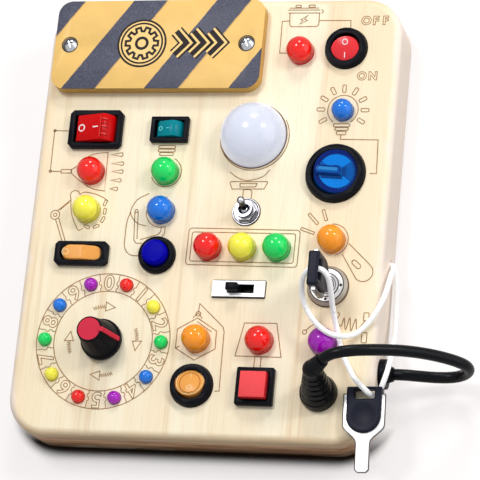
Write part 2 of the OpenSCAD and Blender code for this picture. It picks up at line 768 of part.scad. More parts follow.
module battery_door() {
    plug_in = 2 * (door_inset + slip);
    color("dimgray") difference() {
        union() {
            at(door_x, box_y) centred_box(door_l, door_h, cover_set_in, door_lip);
            at(box_x, box_y) centred_box(box_in_l - plug_in, box_in_h - plug_in,
                cover_set_in + door_lip - eps, cover_t - door_lip + eps);
        }
        at(door_screw_x, box_y, cover_set_in) screw_sink();
        for (k = [0 : grip_lines - 1])
            at(box_x - box_in_l / 3, box_y + grip_line_pitch * (k - (grip_lines - 1) / 2))
                centred_box(8, 0.8, cover_set_in - eps, 0.5);
    }
}

module battery_box() {
    color("black") at(box_x, box_y) difference() {
        centred_box(box_out_l, box_out_h, inside_z, box_top_z - inside_z);
        centred_box(box_in_l, box_in_h, inside_z - eps, box_top_z - box_wall - inside_z);
    }
}

// Runs its children at each cell, turned end for end from one cell to the next.
module each_cell() {
    for (k = [0 : cells - 1])
        at(box_x, box_y + (k - (cells - 1) / 2) * cell_pitch, cell_z)
            rotate([0, 0, k % 2 == 0 ? 0 : 180]) children();
}

module battery_cells() {
    color("darkgray") each_cell() at(cell_shift - cell_l / 2, 0) rotate([0, 90, 0]) {
        cylinder(r = cell_d / 2, h = cell_l - cell_nub_h);
        cylinder(r = cell_nub_r, h = cell_l);
    }
}

// A coil contact drawn as its cone at one end of each cell and a flat one at the other.
module battery_contacts() {
    flat_x = cell_shift + cell_l / 2 + 0.1;
    color("silver") each_cell() {
        at(-box_in_l / 2, -contact_s / 2, -contact_s / 2) cube([contact_t, contact_s, contact_s]);
        at(contact_t - box_in_l / 2 - eps, 0) rotate([0, 90, 0]) cylinder(r1 = contact_cone_r,
            r2 = cell_nub_r, h = cell_shift + box_in_l / 2 - cell_l / 2 - contact_t - 0.1);
        at(flat_x, -contact_s / 2, -contact_s / 2) cube([box_in_l / 2 - flat_x, contact_s, contact_s]);
    }
}

/* Rockers */

// Housing of a rocker in a rectangular bezel, cut through for the paddle and its pins.
module rect_housing(l, h, window_l, window_h, corner, window_r) {
    difference() {
        union() {
            at(0, 0, face_z) cut_corner_plate(l, h, bezel_t, corner);
            centred_box(l - 2 * body_step, h - 2 * body_step, switch_floor_z, switch_depth + eps);
        }
        at(0, 0, pivot_z - window_l / 2) rounded_plate(window_l, window_h, board_t, window_r);
        at(0, h / 2, pivot_z) rotate([90, 0, 0]) cylinder(r = pin_r + run, h = h);
    }
}

module pivot_pin(length) {
    at(0, length / 2) rotate([90, 0, 0]) cylinder(r = pin_r, h = length);
}

// Paddle that rocks about y, drawn in its middle position about the origin.
module rect_paddle(window_l, window_h, top, bezel_h) {
    reach = window_l / 2 - window_gap;
    width = window_h - 2 * window_gap;
    intersection() {
        at(0, width / 2) rotate([90, 0, 0]) cylinder(r = reach, h = width);
        centred_box(2 * reach + 2, width, -paddle_depth, top + paddle_depth);
    }
    pivot_pin(bezel_h - 2 * body_step - 2 * pin_short);
}

module big_rocker_housing() {
    color("black") at(col_a, row_rockers)
        rect_housing(big_l, big_h, big_window_l, big_window_h, 1.4, 0.3);
}

module big_rocker_paddle() {
    color("red") at(col_a, row_rockers, pivot_z) rotate([0, -rocker_tilt, 0])
        rect_paddle(big_window_l, big_window_h, big_top, big_h);
}

module small_rocker_housing() {
    color("black") at(col_b, row_rockers)
        rect_housing(small_l, small_h, small_window_l, small_window_h, 0.2, 0.3);
}

module small_rocker_paddle() {
    color("teal") at(col_b, row_rockers, pivot_z) rotate([0, -rocker_tilt, 0])
        rect_paddle(small_window_l, small_window_h, small_top, small_h);
}

module boat_rocker_housing() {
    color("black") at(col_a, row_button)
        rect_housing(boat_l, boat_h, boat_window_l, boat_window_h, 1.2, boat_window_h / 2 - eps);
}

// Trims its child to the space that stays free of the window at both ends of a tilt about y.
module clear_of_tilt(tilt) {
    intersection() {
        rotate([0, tilt, 0]) children();
        rotate([0, -tilt, 0]) children();
    }
}

// The boat rocker is long and round-ended, with a blunt ridge across its middle.
module boat_rocker_paddle() {
    reach = boat_window_l / 2 - window_gap;
    width = boat_window_h - 2 * window_gap;
    shoulder = boat_top - reach * tan(boat_tilt);
    color("orange") at(col_a, row_button, pivot_z) rotate([0, boat_tilt, 0]) {
        intersection() {
            at(0, width / 2) rotate([90, 0, 0]) cylinder(r = reach, h = width);
            clear_of_tilt(boat_tilt) at(0, 0, -reach)
                rounded_plate(2 * reach, width, 2 * reach, width / 2 - eps);
            at(0, width / 2) rotate([90, 0, 0]) linear_extrude(width)
                polygon([[-reach, -paddle_depth], [reach, -paddle_depth], [reach, shoulder],
                    [0, boat_top], [-reach, shoulder]]);
        }
        pivot_pin(boat_h - 2 * body_step - 2 * pin_short);
    }
}

// Housing of a round rocker whose pins lie along y.
module round_housing(d, window_d) {
    difference() {
        union() {
            at(0, 0, face_z) cylinder(r1 = d / 2, r2 = d / 2 - 0.7, h = bezel_t);
            at(0, 0, switch_floor_z) cylinder(r = d / 2 - body_step, h = switch_depth + eps);
        }
        at(0, 0, pivot_z - window_d / 2) cylinder(r = window_d / 2, h = board_t);
        at(0, d / 2, pivot_z) rotate([90, 0, 0]) cylinder(r = pin_r + run, h = d);
    }
}

// Round paddle that rocks about y, drawn in its middle position about the origin.
module round_paddle(d, window_d, top) {
    reach = window_d / 2 - window_gap;
    intersection() {
        clear_of_tilt(round_tilt) at(0, 0, -reach) cylinder(r = reach, h = 2 * reach);
        centred_box(2 * reach + 2, 2 * reach + 2, -paddle_depth, top + paddle_depth);
    }
    pivot_pin(d - 2 * body_step - 2 * pin_short - 0.4);
}

module wide_rocker_housing() {
    color("black") at(round_x, row_lights_a) round_housing(wide_d, wide_window_d);
}

module wide_rocker_paddle() {
    reach = wide_window_d / 2 - window_gap;
    color("royalblue") at(round_x, row_lights_a, pivot_z) rotate([0, round_tilt, 0]) {
        round_paddle(wide_d, wide_window_d, wide_top);
        intersection() {
            at(-reach + 0.6, -wide_bar_w / 2, wide_top - eps) cube([wide_bar_l, wide_bar_w, wide_bar_h]);
            clear_of_tilt(round_tilt) at(0, 0, -reach) cylinder(r = reach, h = 2 * reach);
        }
    }
}

module red_rocker_housing() {
    color("black") at(round_x, row_top) rotate([0, 0, 90]) round_housing(round_d, round_window_d);
}

module red_rocker_paddle() {
    color("red") at(round_x, row_top, pivot_z) rotate([round_tilt, 0, 0])
        rotate([0, 0, 90]) round_paddle(round_d, round_window_d, round_top);
}

module orange_rocker_housing() {
    color("black") at(orange_x, row_bottom) rotate([0, 0, 90]) round_housing(round_d, round_window_d);
}

module orange_rocker_paddle() {
    color("orange") at(orange_x, row_bottom, pivot_z) rotate([-round_tilt, 0, 0])
        rotate([0, 0, 90]) round_paddle(round_d, round_window_d, round_top);
}

// Two solder tags under a switch, side by side along x.
module tag_pair(pitch) {
    for (side = [-1, 1])
        at(side * pitch / 2, 0) centred_box(tag_t, tag_w, switch_floor_z - tag_l, tag_l);
}

module switch_terminals() {
    color("gold") {
        for (p = [[col_a, row_rockers], [col_a, row_button], [round_x, row_lights_a]])
            at(p[0], p[1]) tag_pair(tag_pitch);
        for (p = [[col_b, row_rockers], [round_x, row_top], [orange_x, row_bottom], [col_b, row_button],
            [square_x, row_bottom]])
            at(p[0], p[1]) tag_pair(tag_pitch_small);
    }
}

/* Buttons */

// Plunger that runs down the middle of a button's spring and out of its floor.
module cap_stem() {
    at(0, 0, switch_floor_z) cylinder(r = button_stem_r, h = face_z - cap_skirt - switch_floor_z + eps);
}

module round_button_housing() {
    color("black") at(col_b, row_button) difference() {
        union() {
            at(0, 0, face_z) cylinder(r1 = button_d / 2, r2 = button_d / 2 - 0.5, h = bezel_t);
            at(0, 0, switch_floor_z) cylinder(r = button_d / 2 - body_step, h = switch_depth + eps);
        }
        at(0, 0, spring_z) cylinder(r = button_window / 2, h = board_t);
        at(0, 0, switch_floor_z - 1) cylinder(r = button_stem_r + run, h = button_floor_t + 2);
    }
}

module round_button_cap() {
    color("mediumblue") at(col_b, row_button) {
        at(0, 0, face_z - cap_skirt) cylinder(r = cap_s / 2, h = cap_skirt + cap_h - cap_bevel);
        at(0, 0, face_z + cap_h - cap_bevel - eps)
            cylinder(r1 = cap_s / 2, r2 = cap_s / 2 - cap_bevel, h = cap_bevel + eps);
        cap_stem();
    }
}

module square_button_housing() {
    color("black") at(square_x, row_bottom) difference() {
        union() {
            at(0, 0, face_z) cut_corner_plate(square_s, square_s, bezel_t, 0.4);
            centred_box(square_s - 2 * body_step, square_s - 2 * body_step, switch_floor_z,
                switch_depth + eps);
        }
        centred_box(button_window, button_window, spring_z, board_t);
        at(0, 0, switch_floor_z - 1) cylinder(r = button_stem_r + run, h = button_floor_t + 2);
    }
}

module square_button_cap() {
    color("red") at(square_x, row_bottom) {
        centred_box(cap_s, cap_s, face_z - cap_skirt, cap_skirt + cap_h);
        cap_stem();
    }
}

// Spring drawn as its stack of turns joined by a thin upright.
module coil_stack() {
    for (k = [0 : spring_turns - 1])
        at(0, 0, spring_z + spring_wire / 2 + k * (spring_h - spring_wire) / (spring_turns - 1))
            rotate_extrude() translate([spring_r, 0]) circle(spring_wire / 2, $fn = 16);
    at(spring_r, 0, spring_z + spring_wire / 2)
        cylinder(r = spring_wire / 2 - run, h = spring_h - spring_wire, $fn = 16);
}

module round_button_spring() {
    color("silver") at(col_b, row_button) coil_stack();
}

module square_button_spring() {
    color("silver") at(square_x, row_bottom) coil_stack();
}

/* Slide switch and toggle */

module slide_switch_base() {
    color("black") difference() {
        at(slide_x, row_slide) {
            centred_box(slide_l - 2 * body_step, slide_h - 2 * body_step, face_z - slide_body_d,
                slide_body_d + eps);
            centred_box(slide_l, slide_h, face_z, slide_rim_t);
        }
        at(slide_slot_x - part_gap, row_slide - slide_slot_h / 2, face_z - slide_cavity_d)
            cube([slide_slot_l, slide_slot_h, board_t]);
    }
}

module slide_switch_plate() {
    color("whitesmoke") difference() {
        at(slide_x, row_slide)
            centred_box(slide_l, slide_h - 2 * slide_plate_in, face_z + slide_rim_t, slide_plate_t);
        at(slide_slot_x - part_gap, row_slide - slide_slot_h / 2, face_z)
            cube([slide_slot_l, slide_slot_h, board_t]);
    }
}

module slide_switch_knob() {
    foot = slide_cavity_d - run;
    color("black") at(slide_slot_x, row_slide - slide_knob_w / 2, face_z - foot)
        cube([slide_knob_l, slide_knob_w, foot + slide_rim_t + slide_plate_t + slide_knob_h]);
}

// Pin through the lever's ball, or the bore that it turns in.
module toggle_pin(room) {
    at(0, 0, toggle_pivot_z) rotate([0, 90, 0])
        cylinder(r = toggle_pin_r + room, h = toggle_pin_l + 2 * room, center = true);
}

module toggle_case() {
    color("firebrick") at(col_c, toggle_y) difference() {
        union() {
            centred_box(toggle_case_w, toggle_case_l, pocket_z - toggle_case_h, toggle_case_h);
            at(0, 0, pocket_z - eps) cylinder(r = bush_r, h = face_t + bush_h);
        }
        at(0, 0, toggle_pivot_z - toggle_ball_r - toggle_ball_seat)
            cylinder(r = toggle_ball_r + run, h = board_t);
        toggle_pin(run);
    }
}

module toggle_lever() {
    color("silver") at(col_c, toggle_y) {
        toggle_pin(0);
        at(0, 0, toggle_pivot_z) rotate([-lever_tilt, 0, 0]) {
            sphere(r = toggle_ball_r);
            cylinder(r1 = lever_neck_r, r2 = lever_tip_r, h = lever_l - lever_tip_r);
            at(0, 0, lever_l - lever_tip_r) sphere(r = lever_tip_r);
        }
    }
}

// Nuts of the toggle, the selector and the lock, and the toggle's washer.
module panel_nuts() {
    color("silver") {
        at(col_c, toggle_y, face_z) difference() {
            union() {
                cylinder(r = washer_r, h = washer_t);
                at(0, 0, washer_t - eps) cylinder(r = washer_r - 0.9, h = nut_t, $fn = 6);
            }
            at(0, 0, -1) cylinder(r = bush_r + nut_slip, h = nut_t + 2);
        }
        at(dial_x, dial_y, face_z) difference() {
            cylinder(r = selector_nut_r, h = nut_t, $fn = 6);
            at(0, 0, -1) cylinder(r = selector_bush_r + nut_slip, h = nut_t + 2);
        }
        at(col_d, row_lock, pocket_z - lock_nut_t) difference() {
            cylinder(r = lock_nut_r, h = lock_nut_t, $fn = 6);
            at(0, 0, -1) cylinder(r = barrel_r + nut_slip, h = lock_nut_t + 2);
        }
    }
}

/* Selector */

module selector_case() {
    color("silver") at(dial_x, dial_y) difference() {
        union() {
            at(0, 0, pocket_z - selector_case_h) cylinder(r = selector_case_r, h = selector_case_h);
            at(0, 0, pocket_z - eps) cylinder(r = selector_bush_r, h = face_t + selector_bush_h);
        }
        at(0, 0, shaft_foot_z) cylinder(r = shaft_r + run, h = board_t);
    }
}

module selector_shaft() {
    color("silver") at(dial_x, dial_y, shaft_foot_z + run)
        cylinder(r = shaft_r, h = knob_foot_z + knob_bore_h - shaft_foot_z - shaft_short);
}

// Half section of the knob: a skirt, then a cone up to the flat top.
module knob_section(extra = 0) {
    polygon([[0, 0], [knob_d / 2, 0], [knob_d / 2, knob_skirt_h - knob_skirt_edge],
        [knob_d / 2 - knob_skirt_edge + extra, knob_skirt_h + extra], [knob_top_d / 2 + extra, knob_h],
        [0, knob_h]]);
}

module selector_knob() {
    color("black") at(dial_x, dial_y, knob_foot_z) difference() {
        rotate_extrude() knob_section();
        at(0, 0, -1) cylinder(r = knob_recess_r, h = knob_recess_h + 1);
        cylinder(r = shaft_r + run, h = knob_bore_h);
        at(0, 0, knob_h - knob_cap_t) cylinder(r = knob_top_d / 2 - knob_cap_rim, h = 2);
    }
}

// Inset disc and the pointer ridge that runs down from it.
module selector_knob_cap() {
    color("crimson") at(dial_x, dial_y, knob_foot_z) {
        at(0, 0, knob_h - knob_cap_t) cylinder(r = knob_top_d / 2 - knob_cap_rim, h = knob_cap_t);
        intersection() {
            difference() {
                rotate_extrude() knob_section(pointer_lift);
                rotate_extrude() knob_section();
            }
            at(0, -pointer_w / 2, knob_skirt_h) cube([knob_d, pointer_w, knob_h]);
        }
        at(knob_top_d / 2 - 2 * knob_cap_rim, -pointer_w / 2, knob_h - eps)
            cube([2 * knob_cap_rim + pointer_lift, pointer_w, 0.4]);
    }
}

module dial_circuit_board() {
    color("darkgreen") difference() {
        at(dial_x, dial_y, ring_board_z) difference() {
            cylinder(r = ring_board_out, h = ring_board_t);
            at(0, 0, -1) cylinder(r = ring_board_in, h = ring_board_t + 2);
        }
        for (k = [0 : dial_lights - 1], side = [-1, 1])
            dial_place(k) at(side * leg_pitch / 2, 0, ring_board_z - 1)
                cylinder(r = ring_hole_r, h = ring_board_t + 2, $fn = light_sides);
    }
}

/* Lights */

// One light: legs, flange behind the wood, straight body and round nose.
module light(d, proud) {
    at(0, 0, pocket_z - led_flange_t) cylinder(r = d / 2 + led_flange_lip, h = led_flange_t);
    at(0, 0, pocket_z - eps) cylinder(r = d / 2, h = face_t + proud + eps);
    intersection() {
        at(0, 0, face_z + proud) sphere(r = d / 2);
        at(0, 0, face_z + proud - eps) cylinder(r = d, h = d);
    }
    for (side = [-1, 1])
        at(side * leg_pitch / 2, 0, pocket_z - led_flange_t - led_leg)
            cylinder(r = leg_r, h = led_leg + eps, $fn = light_sides);
}

module large_lights(places) {
    for (p = places) at(p[0], p[1]) light(led_d, led_proud);
}

// Every fifth dial light, so that each colour comes round twice.
module dial_pair(first) {
    for (k = [first : dial_lights / 2 : dial_lights - 1]) dial_place(k) light(led_small_d, led_small_proud);
}

module red_lights() {
    color("red") {
        large_lights(red_places);
        dial_pair(0);
    }
}

module yellow_lights() {
    color("gold") {
        large_lights(yellow_places);
        dial_pair(1);
    }
}

module green_lights() {
    color("limegreen") {
        large_lights(green_places);
        dial_pair(2);
    }
}

module blue_lights() {
    color("dodgerblue") {
        large_lights(blue_places);
        at(col_d, row_small_light) light(led_mid_d, led_mid_proud);
        dial_pair(3);
    }
}

module purple_lights() {
    color("darkviolet") {
        large_lights(purple_places);
        dial_pair(4);
    }
}

module orange_lights() {
    color("darkorange") large_lights(orange_places);
}

// Dome of radius r: a ball that rises from just below a short straight wall.
module dome_form(r) {
    at(0, 0, face_z + dome_proud) intersection() {
        at(0, 0, -dome_drop) sphere(r = sqrt(r * r + dome_drop * dome_drop));
        cylinder(r = r + 1, h = r);
    }
    at(0, 0, pocket_z - eps) cylinder(r = r, h = face_t + dome_proud + 2 * eps);
}

module dome_lens() {
    color("white") at(col_c, row_dome) difference() {
        union() {
            dome_form(dome_r);
            at(0, 0, pocket_z - dome_flange_t) cylinder(r = dome_flange_r, h = dome_flange_t);
        }
        dome_form(dome_r - dome_wall);
        at(0, 0, pocket_z - dome_flange_t - 1) cylinder(r = dome_r - dome_wall, h = dome_flange_t + 2);
    }
}

module dome_base() {
    color("ivory") at(col_c, row_dome, pocket_z - dome_flange_t - dome_base_t) {
        cylinder(r = dome_flange_r, h = dome_base_t);
        centred_box(dome_chip_w, dome_chip_w, dome_base_t - eps, dome_chip_h);
    }
}

/* Lock and keys */

module lock_barrel() {
    dot_r = (core_r + lock_d / 2 - lock_bevel) / 2;
    color("silver") at(col_d, row_lock) difference() {
        union() {
            at(0, 0, face_z) cylinder(r = lock_d / 2, h = lock_bezel_h - lock_bevel);
            at(0, 0, face_z + lock_bezel_h - lock_bevel - eps)
                cylinder(r1 = lock_d / 2, r2 = lock_d / 2 - lock_bevel, h = lock_bevel + eps);
            at(0, 0, lock_floor_z) cylinder(r = barrel_r, h = face_z - lock_floor_z + eps);
        }
        at(0, 0, lock_floor_z + lock_floor_t) cylinder(r = core_r + run, h = board_t);
        for (turn = [0, -90]) rotate([0, 0, turn])
            at(dot_r, 0, face_z + lock_bezel_h - 0.4) cylinder(r = lock_dot_r, h = 1, $fn = light_sides);
    }
}

module lock_core() {
    foot_z = lock_floor_z + lock_floor_t + run;
    color("gainsboro") at(col_d, row_lock) difference() {
        at(0, 0, foot_z) cylinder(r = core_r, h = core_top_z - foot_z);
        centred_box(key_slot_t, key_slot_w, key_tip_z - part_gap, board_t);
    }
}

// Curve from the blade out to the wide part of the steel, on one side.
shoulder = [for (k = [0 : shoulder_steps]) let (t = k / shoulder_steps)
    [blade_w / 2 + (key_w - blade_w) / 2 * (1 - cos(180 * t)) / 2, blade_l + key_taper_l * t]];
steel_right = concat([[blade_w / 2 - key_nose, 0], [blade_w / 2, key_nose]], shoulder,
    [[key_w / 2, key_steel_l]]);
steel_left = [for (k = [len(steel_right) - 1 : -1 : 0]) [-steel_right[k][0], steel_right[k][1]]];

// Outline of a key's steel, tip at the origin, notched for the string.
module steel_outline() {
    difference() {
        polygon(concat(steel_right, steel_left));
        translate([-grip_slot_w / 2 - grip_slot_edge,
            key_total_l - grip_slot_in - grip_slot_h / 2 - grip_slot_edge])
            square([grip_slot_w + 2 * grip_slot_edge, 10]);
    }
}

// Key steel standing in the yz plane.
module key_steel() {
    rotate([90, 0, 90]) at(0, 0, -blade_t / 2) linear_extrude(blade_t) steel_outline();
}

// Moulded grip over both sides of the steel, with a slot for the string and two dimples.
module key_grip() {
    dimple_ball = (dimple_r * dimple_r + dimple_d * dimple_d) / (2 * dimple_d);
    rotate([90, 0, 90]) difference() {
        at(0, 0, -grip_t / 2) linear_extrude(grip_t) {
            translate([0, grip_start + grip_w / 2]) circle(grip_w / 2);
            translate([-grip_w / 2, grip_start + grip_w / 2]) square([grip_w, grip_l - grip_w / 2]);
        }
        at(0, key_total_l - grip_slot_in) centred_box(grip_slot_w, grip_slot_h, -grip_t, 2 * grip_t);
        at(0, 0, -blade_t / 2) linear_extrude(blade_t) steel_outline();
        for (side = [-1, 1])
            at(0, grip_start + grip_w / 2, side * (grip_t / 2 - dimple_d + dimple_ball))
                sphere(r = dimple_ball);
    }
}

module key_one_steel() {
    color("gainsboro") at(col_d, row_lock, key_tip_z) key_steel();
}

module key_one_grip() {
    color("black") at(col_d, row_lock, key_tip_z) key_grip();
}

// Lays a key flat on the board with its grip towards the top edge.
module lay_key_two() {
    at(key_two_pos[0], key_two_pos[1], face_z + grip_t / 2)
        rotate([0, 0, key_two_turn]) rotate([-90, 0, 0]) rotate([0, 0, 90]) children();
}

module key_two_steel() {
    color("gainsboro") lay_key_two() key_steel();
}

module key_two_grip() {
    color("black") lay_key_two() key_grip();
}

/* Plug and leads */

module plug_socket() {
    color("black") at(col_d, plug_y) difference() {
        union() {
            at(0, 0, face_z) cylinder(r = plug_d / 2, h = socket_flange_t);
            at(0, 0, face_z - socket_depth) cylinder(r = socket_barrel_r, h = socket_depth + eps);
        }
        at(0, 0, face_z - socket_depth + socket_floor_t) cylinder(r = plug_pin_r + run, h = board_t);
    }
}

// Half section of the leaning grip, narrowing upwards with grooves between its ribs.
module plug_grip_section() {
    rib = plug_l / (plug_ribs + 1);
    function grip_r(z) = plug_grip_r + (plug_neck_r - plug_grip_r) * z / plug_l;
    steps = [for (k = [1 : plug_ribs]) each [[grip_r(k * rib - 0.4), k * rib - 0.4],
        [grip_r(k * rib) - rib_depth, k * rib - 0.4], [grip_r(k * rib) - rib_depth, k * rib + 0.4],
        [grip_r(k * rib + 0.4), k * rib + 0.4]]];
    polygon(concat([[0, -plug_root], [plug_grip_r - 0.4, -plug_root], [plug_grip_r, 0]], steps,
        [[plug_neck_r, plug_l], [0, plug_l]]));
}

// Sleeve from the ball to the lead's first point.
module plug_sleeve() {
    reach = cable_points[0] - plug_knuckle;
    translate(plug_knuckle) rotate([0, acos(reach[2] / norm(reach)), atan2(reach[1], reach[0])])
        cylinder(r1 = knuckle_r - 0.1, r2 = sleeve_end_r, h = norm(reach) - cord_gap);
}

module plug_body() {
    color("black") {
        at(col_d, plug_y, plug_foot_z)
            cylinder(r1 = plug_d / 2, r2 = plug_d / 2 - plug_foot_bevel, h = plug_foot_t);
        at(col_d, plug_y, plug_foot_z - plug_pin_l) cylinder(r = plug_pin_r, h = plug_pin_l + eps);
        intersection() {
            translate(plug_base) rotate([0, 0, plug_swing]) rotate([-plug_lean, 0, 0])
                rotate_extrude() plug_grip_section();
            at(col_d, plug_y, plug_foot_z) cylinder(r = plug_d, h = 2 * plug_l);
        }
        translate(plug_knuckle) sphere(r = knuckle_r);
        plug_sleeve();
    }
}

module cable_gland() {
    length = wall_t + gland_inside_l;
    color("black") at(side_x, gland_y, gland_z) rotate([0, 90, 0]) difference() {
        union() {
            cylinder(r = gland_flange_r, h = gland_flange_t);
            at(0, 0, gland_flange_t - eps)
                cylinder(r1 = gland_nose_r, r2 = sleeve_end_r, h = gland_nose_l + eps);
            at(0, 0, -length) cylinder(r = gland_nose_r, h = length + eps);
        }
        at(0, 0, -length - 1) cylinder(r = cable_d / 2 - 0.3,
            h = length + 1 + gland_flange_t + gland_nose_l - gland_end_t);
    }
}

// Tube swept along a route, one ring of corners at each point.
module swept_tube(p, r, sides) {
    axes = side_axes(p);
    rings = [for (k = [0 : len(p) - 1], j = [0 : sides - 1])
        let (a = 360 * j / sides, u = axes[k], v = cross(route_dir(p, k), u))
        p[k] + r * (cos(a) * u + sin(a) * v)];
    walls = [for (k = [0 : len(p) - 2], j = [0 : sides - 1]) let (i = (j + 1) % sides)
        [k * sides + j, (k + 1) * sides + j, (k + 1) * sides + i, k * sides + i]];
    first_end = [[for (j = [0 : sides - 1]) j]];
    last_end = [[for (j = [sides - 1 : -1 : 0]) (len(p) - 1) * sides + j]];
    polyhedron(points = rings, faces = concat(walls, first_end, last_end));
}

module cable() {
    color("black") swept_tube(cable_points, cable_d / 2, 10);
}

module string() {
    color("white") swept_tube(string_points, string_d / 2, 8);
}

// Wire laid along the inside of the rear cover, with a taped joint at each end.
module wire_run(a, b, r) {
    at(a[0], a[1], wire_z) rotate([0, 0, atan2(b[1] - a[1], b[0] - a[0])]) rotate([0, 90, 0])
        cylinder(r = r, h = norm(b - a), $fn = light_sides);
    for (p = [a, b]) at(p[0], p[1], wire_z) sphere(r = wire_joint_r, $fn = light_sides);
}

module wiring_loom() {
    left_x = (col_a + col_b) / 2;
    right_x = (col_c + col_d) / 2;
    cross_y = (row_rockers + row_lights_a) / 2;
    color("firebrick") {
        wire_run([left_x, box_y - box_out_h / 2 - wire_joint_r - slip], [left_x, row_button], wire_r);
        wire_run([left_x, cross_y], [right_x, cross_y], branch_r);
        wire_run([right_x, row_top], [right_x, row_lights_c], wire_r);
        wire_run([right_x, row_lights_c], [wire_end_x, row_lights_c], branch_r);
    }
}

board_block();
rear_cover();
rear_screws();
battery_box();
battery_cells();
battery_contacts();
battery_door();
sign_plate();
sign_screws();
big_rocker_housing();
big_rocker_paddle();
small_rocker_housing();
small_rocker_paddle();
boat_rocker_housing();
boat_rocker_paddle();
wide_rocker_housing();
wide_rocker_paddle();
red_rocker_housing();
red_rocker_paddle();
orange_rocker_housing();
orange_rocker_paddle();
switch_terminals();
round_button_housing();
round_button_cap();
round_button_spring();
square_button_housing();
square_button_cap();
square_button_spring();
slide_switch_base();
slide_switch_plate();
slide_switch_knob();
toggle_case();
toggle_lever();
panel_nuts();
lock_barrel();
lock_core();
key_one_steel();
key_one_grip();
selector_case();
selector_shaft();
selector_knob();
selector_knob_cap();
dial_circuit_board();
red_lights();
yellow_lights();
green_lights();
blue_lights();
purple_lights();
orange_lights();
dome_lens();
dome_base();
plug_socket();
plug_body();
cable_gland();
cable();
string();
key_two_steel();
key_two_grip();
wiring_loom();
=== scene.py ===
import json
import math

import bmesh
import bpy
from mathutils import Matrix, Vector


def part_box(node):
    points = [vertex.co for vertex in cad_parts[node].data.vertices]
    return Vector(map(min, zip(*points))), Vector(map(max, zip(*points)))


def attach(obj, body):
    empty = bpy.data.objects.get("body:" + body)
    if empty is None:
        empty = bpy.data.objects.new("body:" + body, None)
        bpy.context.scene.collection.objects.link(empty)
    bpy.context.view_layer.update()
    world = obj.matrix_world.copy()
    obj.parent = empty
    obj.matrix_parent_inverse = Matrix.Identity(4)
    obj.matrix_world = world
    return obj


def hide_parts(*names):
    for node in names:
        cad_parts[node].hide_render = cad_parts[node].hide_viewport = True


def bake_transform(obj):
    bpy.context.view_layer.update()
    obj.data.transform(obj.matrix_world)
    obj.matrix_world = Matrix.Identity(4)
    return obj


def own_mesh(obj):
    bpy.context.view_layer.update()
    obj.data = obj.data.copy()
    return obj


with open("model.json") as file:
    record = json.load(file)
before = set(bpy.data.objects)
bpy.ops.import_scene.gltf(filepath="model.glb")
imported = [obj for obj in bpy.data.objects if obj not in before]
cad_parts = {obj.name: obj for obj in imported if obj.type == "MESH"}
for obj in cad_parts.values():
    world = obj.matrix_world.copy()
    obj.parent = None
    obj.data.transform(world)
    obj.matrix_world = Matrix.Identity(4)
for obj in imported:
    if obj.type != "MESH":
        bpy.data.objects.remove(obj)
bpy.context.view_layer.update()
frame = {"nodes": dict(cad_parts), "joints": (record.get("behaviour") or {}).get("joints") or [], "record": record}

MM = 0.001
FACE_Z = 20.0           # plane of the wooden face, millimetres
LINE_W = 0.36           # width of a burnt line
LINE_T = 0.05           # how far a burnt line stands on the wood
FILL = 0.35             # strength of the soft light from all round
TABLE_GLOW = 0.6        # share of the table's white that no shadow takes away
LAMP_DISTANCE = 1.3     # from the middle of the object to each lamp, metres
MERGE = 2e-6            # corners of a CAD mesh that are closer than this are one, metres
SLIVER = 4e-6           # edges shorter than this are taken out, metres
FRONT_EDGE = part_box("board_block")[0].y
# the lights' own map below steers their painted shade and painted glow
LOW_SIDE = "low_side"   # name of the lights' own map, 1 where they look down the board


# ---------------------------------------------------------------- nodes of shader trees

def set_inputs(node, **values):
    """Sets a node's inputs by name, with an underscore for each space."""
    for label, value in values.items():
        node.inputs[label.replace("_", " ")].default_value = value


def split_place(tree, vector):
    """The x, y and z of a place, as a node with those three outputs."""
    node = tree.nodes.new("ShaderNodeSeparateXYZ")
    tree.links.new(vector, node.inputs[0])
    return node


def math_node(tree, operation, a, b=None):
    """A math node fed by sockets or plain numbers; returns its result socket."""
    node = tree.nodes.new("ShaderNodeMath")
    node.operation = operation
    for k, value in enumerate([a, b]):
        if value is None:
            continue
        if isinstance(value, (int, float)):
            node.inputs[k].default_value = value
        else:
            tree.links.new(value, node.inputs[k])
    return node.outputs[0]


def noise_node(tree, vector, scale, detail=3.0, rough=0.5, stretch=None):
    """A noise texture, on a vector stretched by three factors if they are given."""
    if stretch:
        wide = tree.nodes.new("ShaderNodeMapping")
        wide.inputs["Scale"].default_value = stretch
        tree.links.new(vector, wide.inputs["Vector"])
        vector = wide.outputs[0]
    node = tree.nodes.new("ShaderNodeTexNoise")
    set_inputs(node, Detail=detail, Roughness=rough)
    tree.links.new(vector, node.inputs["Vector"])
    if isinstance(scale, (int, float)):
        node.inputs["Scale"].default_value = scale
    else:
        tree.links.new(scale, node.inputs["Scale"])
    return node.outputs["Fac"]


def range_node(tree, value, low, high, to_low, to_high):
    node = tree.nodes.new("ShaderNodeMapRange")
    tree.links.new(value, node.inputs["Value"])
    for label, number in (("From Min", low), ("From Max", high), ("To Min", to_low), ("To Max", to_high)):
        if isinstance(number, (int, float)):
            node.inputs[label].default_value = number
        else:
            tree.links.new(number, node.inputs[label])
    return node.outputs[0]


def mix_colours(tree, share, a, b):
    """Mixes two colours, each a socket or four numbers, by a share socket or number."""
    node = tree.nodes.new("ShaderNodeMix")
    node.data_type = "RGBA"
    for socket, value in ((node.inputs["Factor"], share), (node.inputs[6], a), (node.inputs[7], b)):
        if isinstance(value, (int, float, tuple)):
            socket.default_value = value
        else:
            tree.links.new(value, socket)
    return node.outputs[2]


# ---------------------------------------------------------------- camera, lamps and floor

